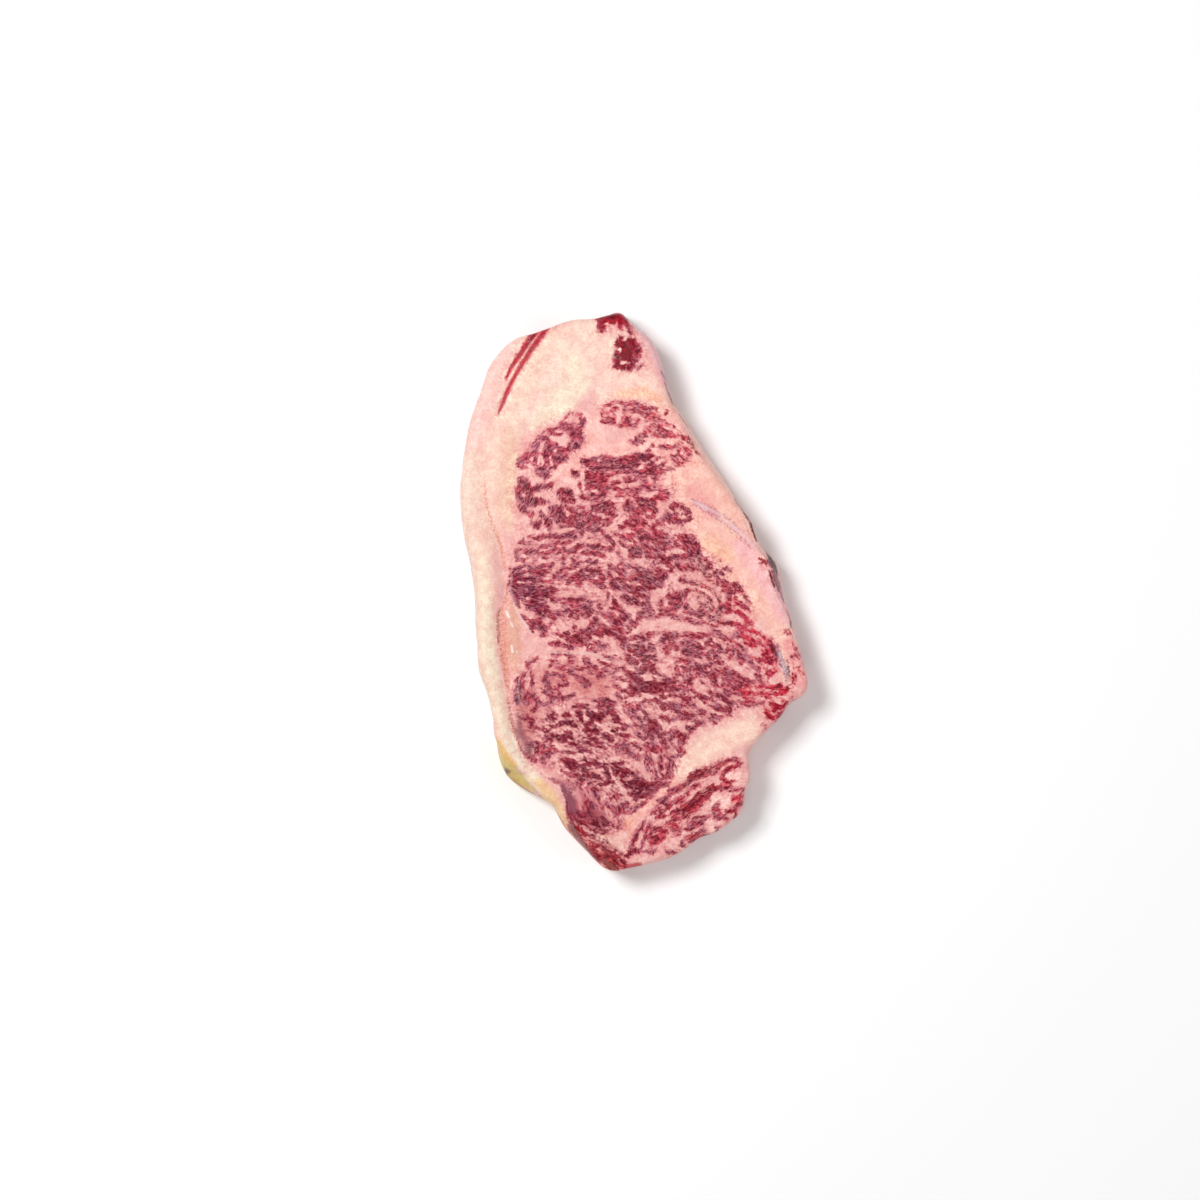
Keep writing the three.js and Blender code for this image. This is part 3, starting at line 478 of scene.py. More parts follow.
            [(30.6,-39.4,.4), (32.6,-40.7,.7), (35,-41.8,.8), (37.2,-43.6,.9), (38.4,-45.4,.9)],
            [(30.6,-42.4,.4), (32.4,-44,.5), (34.2,-45.6,.5)],
            [(29.4,-45.6,.5), (32,-46.2,.8), (35,-46.8,1), (38,-47,1.1), (38.6,-48.6,.6)],
            [(18.4,-41,.7), (20.2,-41,.9), (20,-42.6,.7), (22.4,-42.6,.6), (21.4,-44,.8), (19,-43.4,.4)],
            [(23,-38.6,.4), (23.8,-40.2,.4)],
            [(4,-43.4,.4), (6.6,-43.5,.6), (9,-43.4,.6), (11,-44.8,.7), (15,-44.8,.5), (19,-45,.5),
             (21.6,-45.5,.6), (24.4,-45.7,.6)],
            [(11,-45.9,.5), (13.8,-46.9,.7), (16.2,-46.4,.5)],
            [(16.8,-47.2,.6), (18.8,-48.4,1), (21,-49.4,1), (24,-48.8,.8), (28,-48.6,.7)],
            [(18,-50,.7), (20.8,-50.7,.7), (23.4,-50.2,.5)],
            [(31,-49,.4), (33.6,-50,.5), (36.4,-49.7,.4), (38.6,-48.8,.3)],
            [(30.6,-51,.4), (32,-52.1,.5), (33.2,-52.4,.3)],
            [(24,-51.4,.5), (25.8,-52,.7), (27.6,-52.6,.8), (25.2,-53.4,.9)],
            [(20.4,-54.2,.6), (22.4,-54.8,1), (24,-54,.8), (22,-56.4,.7)],
            [(-4.6,-30.4,.8), (-3,-32,1.1), (-1,-33.6,1.5), (1,-34.8,1.7), (2.8,-36.2,1.6),
             (4.4,-37.8,1.7), (7,-37.6,1.9), (10,-37.8,1.8), (12.8,-37.4,1.7), (15,-36.4,1.3)],
            [(3.6,-32.2,1.2), (1.8,-31,1)], [(12,-34.8,.8), (14,-35,1), (16,-36.2,1), (16.6,-37.8,.7)],
            [(-6.6,-34.6,.4), (-4.4,-35.4,.5), (-1.6,-36,.5)],
            [(-1.4,-38.4,.9), (1.4,-39.4,1.3), (4.8,-39.4,1.2), (8,-39.6,1), (11.4,-39.4,.8), (15,-39,.7),
             (18.4,-38.9,.4)],
            [(-3.8,-39.6,.7), (-2,-40.2,.9), (-.2,-40.8,.6)],
            [(-6.6,-40.4,.4), (-6,-41.8,.4), (-4.6,-42.5,.7), (-3.4,-42.3,.4)],
            [(-8.2,-36,.4), (-7.2,-37.2,.7), (-5.8,-38.6,.5), (-5,-39.8,.4)],
            [(6.8,-28.6,.5), (7.8,-29.6,.6), (6.8,-31.6,.5)], [(7.4,-34.6,.4), (8.6,-35.2,.5)],
            [(9,-32.6,.4), (10.4,-34,.5)], [(17,-29.2,.6), (17.2,-31.4,.6), (18,-33.4,.4)],
            [(19.6,-29.8,.6), (21,-31.2,.8), (23.4,-31,1)],
            [(21.4,-33.4,.6), (23.2,-34.6,.8), (22.6,-36.6,.7), (20.4,-36,.6)],
            [(18.4,-36.8,.6), (18.6,-38.4,.5), (20.6,-38.6,.5)], [(10.6,-41.2,.3), (11.9,-42.3,.6)],
            [(14.6,-41,.3), (16.6,-41.6,.5)],
            [(-3.6,-44.8,.4), (-2,-45.6,.8), (-.8,-47,.9), (.4,-47.8,.8), (1.6,-46,1.1), (2.6,-45,.8)],
            [(-4.6,-46,.4), (-3.4,-47.6,.5), (-1.6,-48.9,.4), (.4,-49.8,.6), (2.2,-50.4,.7), (2.8,-52,.5)],
            [(3,-47,.4), (4,-48.2,.6), (5.4,-49.4,.6), (4.4,-50.6,.7), (6,-50.8,.7)],
            [(10.8,-50,.5), (12.8,-50.7,.6), (15.2,-51.3,.8), (17.2,-51,.6)],
            [(6.4,-51.8,.9), (8,-52.6,1.3), (9.4,-53.8,1.2), (10.4,-55,.8)],
            [(6.4,-54.6,1), (8.4,-55.8,.9), (10.2,-57.2,.9), (11.4,-58.7,.8)],
            [(3.2,-53.4,.5), (4.8,-54.8,.7), (6.4,-56.8,1), (7,-58.2,1.2), (5,-57.8,1.1)],
            [(7.2,-59.8,.8), (8.6,-61.4,.9), (10.2,-62.8,1), (11.2,-63.6,.8)],
            [(5.2,-60.8,.9), (5.2,-62.6,1.2), (7.6,-62.8,1.3), (9.4,-64,.7)],
            [(4,-59,.6), (2.6,-58,.6), (1.6,-56.6,.6), (.2,-56.2,.4)],
            [(-6.6,-52.8,.5), (-4.6,-53.2,.7), (-2,-53.4,.6), (.6,-53.5,.6), (3,-54.4,.4)],
            [(-7.2,-54.6,.5), (-5,-54.6,.7), (-3.4,-54.8,.5)], [(-8.4,-55.7,.7), (-6.6,-55.8,.4)],
            [(-7.6,-56.6,.5), (-5.4,-57.1,.8), (-3.4,-57.7,.8), (-1.6,-57.2,.4)],
            [(-8.4,-62.4,.4), (-6.4,-61.8,.6), (-4,-61,.9), (-2.4,-62,1), (-4.8,-62.8,.9), (-6.8,-63.4,.6)],
            [(-6.8,-64.6,.5), (-4.4,-64.8,.4)],
            [(-2.8,-63.6,.8), (-.8,-64.6,.9), (.6,-65.8,.9), (2.4,-66.6,.5)],
            [(-.6,-60.6,.4), (1,-62,.4), (3,-62.8,.4)],
            [(3.4,-65.6,.5), (5,-65.7,.7), (6.4,-66.6,.9), (7,-68.2,.8), (7.6,-69.2,.5)],
            [(4.6,-67.4,.6), (5.2,-69,.7), (5.8,-70.6,.5)],
            [(12,-56.6,.5), (14,-56.4,.7), (15.6,-55.4,.8), (17.2,-55.7,.8), (16,-57.4,1.1),
             (14.6,-58.8,.9)],
            [(12.3,-58.8,.6)], [(18.6,-57.6,1.4), (20.4,-58.2,1.2), (18.6,-59.4,1.1), (20.2,-60,.7)],
            [(17.4,-62.6,.6), (18.8,-62.1,.8), (19.6,-63.2,.7), (18.2,-63.9,.7)],
            [(15.2,-61.2,.4), (16.2,-62.2,.4)], [(16.2,-65.8,.4), (18.2,-65.5,.5), (19.8,-64.8,.4)],
            [(10.8,-60.2,.5), (12.2,-60.8,.7), (13.4,-62.2,.5)],
            [(10.6,-66.4,.7), (10.2,-68.4,.9), (10.8,-70.2,.9), (10.4,-71.8,.5)],
            [(11.2,-72.8,.5), (13,-74,.7), (15,-73.8,.8), (14.4,-71.8,1), (13.8,-69.6,1.1),
             (15.4,-69.2,.8), (14.8,-67.2,.9), (14,-65.8,.5)],
            [(11.8,-66,.4), (13.2,-65.3,.3)], [(7,-71.6,.5), (8.8,-72.6,.8), (9.2,-74,.4)],
            [(-15.4,-43.6,.5), (-13.4,-43.8,1.1), (-11,-43.8,1.2), (-8.8,-44.8,1.2)],
            [(-14,-45.4,.9), (-11.6,-45.8,1), (-9.4,-46.6,1.3), (-8.6,-48.2,1.2)],
            [(-7.4,-49.6,1), (-6,-51.2,1), (-7.8,-51.6,.8)],
            [(-11,-48.6,.9), (-13.4,-49.2,1.3), (-14,-50.8,1.2), (-16.4,-49.4,1.1), (-18,-48.6,.9)],
            [(-24,-45.8,.7), (-21.6,-45.6,.8), (-19.4,-45.8,.8)],
            [(-22.4,-47.8,1), (-21.4,-49.4,1.3), (-21,-50.8,.8)],
            [(-16.4,-51.8,.7), (-18.6,-52.8,.8), (-18.6,-54.4,.9), (-16.8,-55.8,1.1), (-14.6,-55.8,1)],
            [(-20,-55,.5), (-19,-56.8,.6), (-18,-58,.4)],
            [(-12.4,-57,.7), (-11,-57.4,.9), (-10,-58.8,.6), (-8.6,-59.6,.5), (-10.6,-60.4,.5)],
            [(-17,-58.6,.6), (-15.2,-58.8,.8), (-14.8,-60.2,.8), (-12.4,-60.6,.6)],
            [(-22,-59.8,.5), (-19.6,-60.2,.6), (-17,-61.2,.6), (-14,-61.7,.5), (-10.8,-62.3,.4)],
            [(-22,-62.4,.6), (-20.2,-63.5,.9), (-17.6,-64.1,.5)],
        ],
        "fat": [
            [(2.6,-33.5,.4), (4.6,-34,.9), (6.6,-34.4,.8)], [(-2.8,-30.7,.5), (-1.4,-31,.3)],
            [(9.6,-29,.9), (12,-30.4,1.5), (13.6,-32.2,1.5), (14.8,-33.8,.8)],
            [(3,-41.2,.8), (5.4,-41.5,.9), (8,-41.8,.6)], [(-2,-42.8,.8), (0,-42.7,1.1), (1.8,-43.2,.8)],
            [(4,-46.6,.6), (6.6,-46.9,.9), (9.6,-47.8,.9), (12.6,-48.7,.7)],
            [(1.6,-48.8,.4), (3.2,-49.3,.4)],
            [(-6,-44.4,.7), (-5.4,-46.8,.7), (-4.2,-49.4,1.1), (-2.8,-51.2,1.2), (-.8,-52.2,.7)],
            [(12.6,-52.9,.5), (15.6,-53,.9), (18.2,-52.4,1.2), (19.4,-54,1.2), (20,-55.6,.6)],
            [(18,-46.6,.5), (20,-47,.6)], [(-.4,-63.2,.4), (1.4,-63.9,.4)], [(12.4,-67.8,.9)],
            [(12,-71.8,.5)], [(7.8,-65.2,.8), (8.6,-67.4,.9)],
            [(-2,-67.6,.9), (.6,-68.6,1.1), (3,-70.6,1.4), (5,-73,1.3), (6.4,-74.6,.7)],
            [(-17.4,-47,.6), (-14.6,-47.3,.4)], [(-14,-52.8,.6), (-11.8,-53.5,.7), (-9.4,-53,.6)],
            [(-13.2,-57.8,.6)], [(21,-41.2,.5)], [(19,-33.2,.6)],
        ],
    },
    "lowerEnd": {  # the narrow end beside the tail
        "lean": [
            [(-20,-69,.4), (-18,-68.8,.7), (-15.6,-68.4,.8), (-13.4,-68.9,.4)],
            [(-19.8,-70.6,.8), (-19.4,-72.6,1), (-17.6,-73.6,1.1), (-15.4,-73.7,1), (-13.2,-74.5,.6)],
            [(-12.4,-69.8,.6), (-10.8,-71,.8), (-10.2,-73,.9), (-9.8,-74.6,.6)],
            [(-8,-68.7,.5), (-6.2,-68.4,.7), (-4.6,-68.7,.5)],
            [(-8.4,-70.6,.9), (-7.2,-72.6,1.2), (-6,-71,1.1), (-4,-71.6,1.3), (-4.6,-73.6,1)],
            [(-4,-71.6,1.2), (-2,-72.2,.8), (0,-72.8,.7), (1.4,-73.7,.4)], [(-4,-76.6,.5), (-2.6,-78.2,.6)],
            [(-1.8,-76.2,.7), (-1.2,-77.8,.6)],
            [(.2,-75.4,.9), (2.6,-76.2,1), (2,-78.6,1.6), (5,-78,1.7), (8,-77.6,1.5), (10.8,-77.2,1.2),
             (13.2,-76.6,.9)],
            [(8.8,-75.4,.5), (11.6,-75,.6), (13.8,-74.8,.6)],
            [(0,-80.6,1.2), (2.6,-81.6,1.3), (4.8,-80.8,1.1), (7.2,-80.4,1.1), (8.8,-79.4,.8)],
            [(-.8,-83.4,.6), (.6,-83.7,.7)], [(5.2,-83.2,.5), (7,-82.1,.6)],
            [(-1,-86.6,.5), (1,-86.4,.7), (3,-85.4,.6), (4.8,-84.5,.4)],
            [(-3.4,-88.2,.5), (-1.4,-88.1,.6), (.8,-87.6,.4)],
            [(-18.2,-77,.8), (-16.6,-77.8,.7), (-15,-79.6,1.3), (-14.2,-82,1)],
            [(-13.6,-76.9,.5), (-11.4,-76.9,.6), (-9.8,-75.8,.5)],
            [(-18.4,-84.4,.9), (-17.6,-86.2,1.4), (-15,-85.8,1)], [(-20,-88.8,.7), (-17.6,-88.6,.6)],
            [(-9.2,-82.8,.5), (-7.8,-82,.7), (-5.6,-81.2,.5)], [(-12.6,-85,.7), (-12.4,-86.8,.5)],
            [(-10.6,-84.8,.6), (-9.4,-86.4,.8), (-7,-86.5,.9), (-4.8,-85.8,1.2), (-2.8,-84.6,1)],
            [(-5.8,-88,1.1), (-7.2,-89.4,.9)],
            [(-12.6,-90,.6), (-11.2,-91.4,1), (-9.2,-92.4,.9), (-8,-93.7,.6)], [(-11.8,-93.8,.6)],
            [(-16.4,-91.2,.8), (-15.2,-92.4,1), (-13.8,-94,.6)],
            [(-25.6,-86.8,.7), (-23.4,-87.8,1.3), (-21.6,-89.2,1.1)],
            [(-24.2,-90.4,1.1), (-22.4,-92,1.2), (-20.4,-92.2,.9)],
            [(-23.4,-94.6,1.2), (-21.2,-95.8,1), (-19.6,-97,.8)],
            [(-17.8,-101,.5), (-16,-102.4,.6), (-14.4,-101.4,.4)],
            [(-12,-102.8,.4), (-10.6,-104.2,.7), (-9,-105.8,.7)],
            [(-19.4,-102.4,.7), (-17.2,-104.2,.9), (-15.2,-106.2,.8), (-13.8,-107.6,.6)],
            [(-7.4,-106.4,.9), (-5.8,-107.2,.9), (-4,-108.4,.7)], [(-3,-106,.4)], [(-3.2,-109.4,.5)],
            [(-24.6,-93,1.2), (-23.4,-97,1.6), (-21,-100.6,1.5), (-18.4,-103.4,1.2)],
            [(-25.6,-84,1), (-25.4,-88,1.5), (-24.2,-91,1.5)],
            [(-22,-89.6,1), (-19.4,-89.6,.7), (-16.6,-88.4,.6)], [(-16,-79,1.2), (-14.6,-81.6,1.2)],
            [(-18.6,-85,1.4), (-16.4,-86,1.4)], [(-15.6,-92,1.3), (-14.6,-93.6,1)],
            [(-13,-90,.7), (-11.6,-92.6,1.1), (-9.6,-93.4,.9)],
            [(-17.4,-102.4,1.2), (-15.8,-105,1.5), (-14,-107,1)],
            [(-12,-107,1.6), (-9.4,-109,1.8), (-7,-109.6,1.4)],
            [(-8,-106.6,1.3), (-5.6,-107.2,1.3), (-4,-108.6,1)],
        ],
        "fat": [
            [(-16.2,-71.4,.7), (-13.6,-71.6,.9)], [(-17,-75.1,.3), (-14.4,-75.3,.3)],
            [(-9.6,-70,.5), (-9,-73,.7), (-7.4,-75.4,.6), (-5.8,-77.4,.8), (-4.2,-79.6,1), (-2.8,-81.8,.9),
             (-1.8,-83.2,.5)],
            [(-3.4,-75.2,.4), (-1.4,-74.8,.5)], [(1.6,-84.3,.5), (3.2,-83.4,.4)],
            [(-13.4,-87.2,.8), (-14.4,-89,.9)],
        ],
        "lines": [[(-13.4,-97.2,.3), (-11,-95.6,.4), (-9,-94.8,.5), (-7.4,-93.4,.4)]],
    },
    "inroads": {  # fine fat that runs into dense lean
        "fat": [
            [(-3,-24,.3), (0,-25.6,.4), (2,-27.4,.3)], [(10.4,-23,.4), (7.4,-24.6,.4), (6,-24.2,.3)],
            [(4.6,-20.4,.5), (5,-22.6,.3)], [(1.6,-30.4,.5), (3,-28,.3)], [(6.8,-27.2,.5), (8,-28.4,.4)],
            [(-1.6,-21.6,.5), (-.4,-22.4,.3)],
        ],
    },
    "lowerLeft": {  # the open bundle under the silver skin
        "lean": [
            [(-32.4,-25.2,.5), (-31,-25.8,.5), (-29.6,-25,.4)],
            [(-27.6,-25.2,.4), (-25.6,-25.4,.5), (-23.4,-26,.4)],
            [(-33.4,-27.4,.5), (-31.6,-28.4,.7), (-30.4,-28.9,.5)], [(-33.2,-29.4,.4)],
            [(-26,-27,.5), (-24.6,-28,.6), (-26.6,-28.8,.5)],
            [(-30.8,-30.4,.5), (-29,-30.2,.9), (-28,-30.6,.5)],
            [(-38.6,-26.4,.3), (-40,-27.4,.5), (-42,-28.4,.5), (-42.4,-29.8,.6), (-41.2,-30.8,.6)],
            [(-45,-32.6,.5), (-44,-33.4,.7), (-44.8,-35,.5), (-43.6,-36.2,.5)],
            [(-41.6,-32,.3), (-41,-34,.4), (-40.6,-36.4,.9)],
            [(-46.4,-35.4,.7), (-45.6,-37.6,1), (-47,-38.8,.9), (-44.6,-39.6,1)],
            [(-46.6,-41.6,1.2), (-45,-43.4,1.4), (-43,-42.4,1.2), (-47.6,-43.6,.9)],
            [(-43.4,-40,.5), (-42,-41.4,.9), (-41,-42.8,1.1), (-42.6,-44.6,1)],
            [(-40.4,-41,.5), (-39.4,-43,.9), (-38,-44.4,1), (-36.4,-45,.9), (-34,-44.8,.8), (-32.6,-44,.6)],
            [(-39,-46,.7), (-40.4,-47.4,.7)], [(-35.2,-32,.5), (-34,-32.8,.5)],
            [(-35,-34,.5), (-35.7,-36,.7), (-35,-37.4,.6), (-34,-38.6,.8), (-32.8,-39,.8),
             (-30.8,-38.6,.6)],
            [(-33.8,-35.4,.4), (-33.8,-36.8,.4)],
            [(-32.4,-32.6,.6), (-30.6,-33.2,.6), (-28.4,-34,.7), (-27.2,-35.4,.6), (-27.2,-37,.7),
             (-28.6,-37.6,.6), (-30,-37.4,.5), (-30.2,-36,.3)],
            [(-36.6,-40,.5), (-35,-40.4,.9), (-33,-41.6,.9), (-31,-42.4,.8)],
            [(-30,-41,.7), (-28.6,-42.6,.9), (-27,-42.6,.8), (-25.6,-41.4,.7), (-24,-41,.7)],
            [(-24,-30.6,.4), (-21,-30.7,.5), (-18.6,-30.4,.7), (-16,-30.4,.7), (-14.4,-31.6,.8),
             (-13,-33,1), (-14.4,-33.8,.8), (-13.8,-34.6,.4)],
            [(-19,-28.4,.4), (-17.4,-29.4,.5)], [(-26,-31.4,.4), (-24.6,-31.6,.5)],
            [(-18,-32.6,.5), (-17,-33,.4)],
            [(-25,-33,.3), (-22.6,-34,.5), (-20.6,-34.6,.7), (-18.6,-35.4,.7)],
            [(-21,-36,.9), (-19,-37,1.3), (-17.4,-36.4,.8)],
            [(-12.4,-31.2,.7), (-11,-31.6,.9), (-9,-32.4,.6), (-7,-32,.6), (-5.6,-31,.4)],
            [(-14,-27.6,.5), (-12,-28.6,.5), (-10,-29.4,.4)], [(-9,-30,.4), (-6.4,-30.6,.4)],
            [(-8,-33.6,.4), (-5.4,-34.4,.4)], [(-20,-26.6,.6), (-18.6,-27,.5)],
            [(-45,-50.6,1.1), (-42.4,-50.6,1.3), (-40.6,-51.6,1.2), (-41.4,-53.6,.9), (-39.4,-54,.8)],
            [(-46,-54,.9), (-45.6,-57,1), (-44,-56.4,.9)],
            [(-43,-61,1.1), (-41,-61.4,1.2), (-42.6,-64.4,1.1), (-41,-66,1.2), (-39.6,-67.6,.9)],
            [(-39,-63.6,1.2), (-38.6,-61,.9), (-36.6,-62,.9)],
            [(-37.4,-64.4,1), (-35,-64.4,1.1), (-34,-63,.8)],
            [(-34.4,-66,.7), (-37,-67,.9), (-35.4,-67.8,.6)],
            [(-39,-53.6,.5), (-37,-54.8,.5), (-35,-55.6,.4), (-33,-55,.4)],
            [(-35.6,-57.8,.4), (-34.4,-58.6,.6), (-33,-59.6,.6)],
            [(-33,-54.2,.6), (-31,-53.4,.7), (-29,-52.6,.9), (-27,-52,.9), (-25,-52.4,.9), (-23.6,-54,.5)],
            [(-32.4,-57.6,.5), (-29.6,-58.2,1), (-27.6,-57.6,1), (-25.6,-57.2,.9), (-24.6,-58.6,.6)],
            [(-30,-59.6,.5), (-27,-59.6,.5)], [(-28,-49.4,.6), (-26,-49.4,.8)],
            [(-34,-50,.9), (-32,-50.6,.8)], [(-33.6,-61.6,.5), (-32,-62.6,.6), (-30.6,-63.4,.6)],
            [(-33,-64.6,.5), (-31,-64.6,.4)], [(-28.6,-64,.4), (-26.6,-63.8,.6), (-25.8,-64.6,.4)],
            [(-25,-60.6,.6), (-23.4,-61.4,.7), (-22,-60.4,.4)],
            [(-29.4,-67,.5), (-27.6,-67.6,.9), (-26.6,-69,1.2), (-25,-70,1.3), (-23.4,-69.6,1),
             (-24,-67.8,.7)],
            [(-29.4,-71,.4), (-27.4,-72.6,.5), (-25,-73.6,.7), (-23,-73.4,.7), (-21.4,-75,.8),
             (-20,-76.4,.8)],
        ],
        "fat": [[(-37,-43,.8), (-36.4,-42,.5)]],
        "lines": [[(-23.6,-76,.5), (-22,-77.4,.5), (-21,-79.4,.6), (-19.8,-81,.6), (-19.4,-82,.4)]],
    },
    "point": {  # the point at the lower right, and specks on the chine side
        "lean": [
            [(54.6,-44.8,.7), (56,-45.4,.9), (58,-46.2,1), (60,-46,.9), (61,-44.4,.6)], [(56.6,-47,1)],
            [(52.8,-48,.7), (53.6,-49.6,1.3), (55.4,-50.2,1.2), (56,-51,.7)],
            [(58,-49.4,.9), (60,-49,.7), (61.4,-47.4,.6)], [(57,-52,.5), (58.4,-51.8,.4)],
            [(63.6,-33,.6), (63.8,-35,.7), (63.6,-36.6,.5)],
            [(62.8,-26,.4), (64.6,-25.4,.4), (66.4,-25.2,.4)], [(64.6,-22,.5), (65,-23.2,.3)],
            [(61,-16,.5), (61.8,-17,.5)], [(51,11.6,.4), (53.4,12.2,.6), (55,11.2,.7), (55.4,10,.4)],
            [(55.6,8,.6), (56.2,5.6,.7), (57.4,3.2,.9), (57.8,.8,.6)], [(51.6,-52.6,.2), (53,-54.6,.2)],
        ],
    },
    "tail": {  # the separate muscle behind the seam
        "lean": [
            [(-2,-104.4,.8), (-.4,-104,1), (1.4,-103.6,1), (2.8,-103,.7)],
            [(-1,-102,.9), (-.2,-100.4,.9), (.6,-98.4,.7), (1.6,-96.4,.6), (3,-94.6,.7), (4.2,-92.4,.6)],
            [(3.4,-101.4,.6), (4,-99.4,.6), (4.4,-97.4,.5), (5.4,-94.6,.7), (6.4,-92.6,.6)],
            [(5.6,-98.4,.9), (7.4,-98.6,1.3), (9.6,-98.8,1.3), (11.4,-98.6,.9)],
            [(7.4,-100.6,1.4), (9,-100.8,.8)],
            [(6.4,-96,.8), (8.4,-95,.8), (10.6,-95.6,.8), (12.6,-96.4,.7)],
            [(4.4,-103.6,.5), (6,-104.4,.5), (8.4,-104,.4)], [(8,-88.4,.8), (9.4,-87,1.1), (11.4,-87.6,1)],
            [(9,-90,.7), (11.6,-89.8,.6)], [(10.4,-84.4,.9), (12.4,-84.4,1), (14.4,-85.2,1), (13,-86.4,.8)],
            [(12.6,-82.6,.7), (14,-81.4,.7)],
            [(14.6,-80,.8), (16.6,-79.6,.8), (18.4,-78.4,.8), (20.4,-77.6,.8), (22,-76.4,.9),
             (23.4,-75,1.2), (25.4,-74.4,1.4), (27.4,-73,1.4), (29,-71.6,1.3), (30.4,-71.8,.6)],
            [(22.6,-73.6,.5), (24.6,-73,.7), (26.6,-71.6,.9)],
            [(31.4,-70,.8), (33.4,-69.4,.9), (35.4,-68.6,.8), (37.6,-67.8,.8), (39.6,-67.2,.7),
             (41.4,-67.4,.4)],
            [(32,-72.8,.5), (32.6,-72,.5), (34,-71,.4)],
            [(35.6,-74.6,.9), (36,-72.6,.9), (37.6,-70.8,1), (39.6,-70,1), (41.2,-69.2,.7),
             (42.8,-68.8,.4)],
            [(17.6,-82.4,.8), (19.4,-82.4,.7)], [(18.6,-84,.8), (16.4,-84.4,.7)],
            [(21.4,-80.8,.9), (22.4,-80,.4)],
            [(22.8,-79.2,.5), (23.8,-78,.8), (24.6,-77.4,.7), (26.4,-77,.4)],
            [(15.4,-88.4,.9), (17.4,-88,1.2), (20,-87.6,1.6), (22,-86.4,1.8), (24.4,-85,1.6),
             (26.4,-83,1.7), (28.4,-81.4,1.8), (30,-79.4,1.6), (32,-78.4,1.3), (34.4,-78.8,1),
             (37,-78.4,.9), (39,-77.8,.7)],
            [(19.4,-85.4,.7), (22,-84.4,.9), (24,-82.4,1), (25.4,-80.8,.8)],
            [(15.6,-90.6,.8), (17.4,-90.6,.9), (18.4,-91.6,.5)], [(19.6,-90.4,.6), (21.4,-90.4,.5)],
            [(22,-88.6,.8), (24,-87.6,.8), (26.4,-85.6,.7)],
            [(36.6,-76,.8), (38,-76.4,.7), (39.6,-75.6,.4)],
            [(38.6,-79.6,.4), (41,-79.2,.5), (43.4,-79,.3)],
            [(13.8,-93,.7), (15.6,-92.8,.9), (17,-94.2,.9), (18.6,-94.8,.7)],
            [(15.6,-95,.7), (17,-96.4,.6), (18.4,-97,.3)], [(22,-93,.8), (23.4,-92.4,.7)],
            [(22,-95,.9), (23.6,-94,1), (25.4,-92.8,1), (27,-92,.8), (28.4,-91.4,.5)],
            [(22.6,-91,.4), (25,-90.2,.5), (27.4,-90.4,.4), (29,-90.4,.5), (31,-90.2,.4)],
            [(32,-87,.8), (33.4,-86.8,.9), (34.4,-87.6,.6)], [(32.6,-85.6,.4), (34,-85,.4)],
            [(31.8,-89.8,.6), (33.4,-90.4,.9), (35.4,-90.2,1), (37.2,-90.8,.7)],
            [(37.4,-88,.6), (39,-88,.7), (40.4,-87.4,.6), (40.8,-89,.5), (41,-90.4,.4)],
            [(40.4,-86.4,.4), (41.8,-85,.5), (43.6,-84.4,.4)],
            [(39.6,-83.4,.4), (41.6,-82.8,.5), (43,-81.8,.5), (44,-81.4,.3)],
            [(38.4,-82,.3), (40,-82.2,.3)], [(33.2,-94.2,.4), (33.8,-95.2,.7), (33.6,-96.4,.3)],
            [(21.6,-98.6,.7), (23.4,-98.4,.9), (25,-97.6,.8), (26.4,-96.4,.7), (28,-95,.4)],
            [(22.4,-99.6,.5), (24.4,-99.4,.6), (26.4,-98.4,.6), (28.6,-97.4,.5), (30.4,-97.4,.3)],
            [(19.4,-100.2,.3), (19.8,-101.6,.5), (20.8,-102,.3)],
            [(13.4,-104.2,.4), (14.8,-104.6,.6), (17,-104.4,.3)],
        ],
        "fat": [
            [(2.6,-99.6,.4), (3,-97.4,.6)],
            [(14.6,-87.6,.35), (17.4,-85.6,.4), (20,-84.4,.4), (22.4,-82.6,.45), (24,-80.4,.45),
             (26.4,-78.8,.5), (28.6,-77.6,.5), (31,-76.6,.6)],
            [(15.6,-82.8,.3), (17,-81,.4), (19.4,-80.4,.4), (21.4,-79.2,.4), (22.4,-77.4,.4),
             (24,-76.2,.45), (27,-75.4,.5), (30,-75,.8), (32.4,-74.4,.8)],
        ],
    },
}

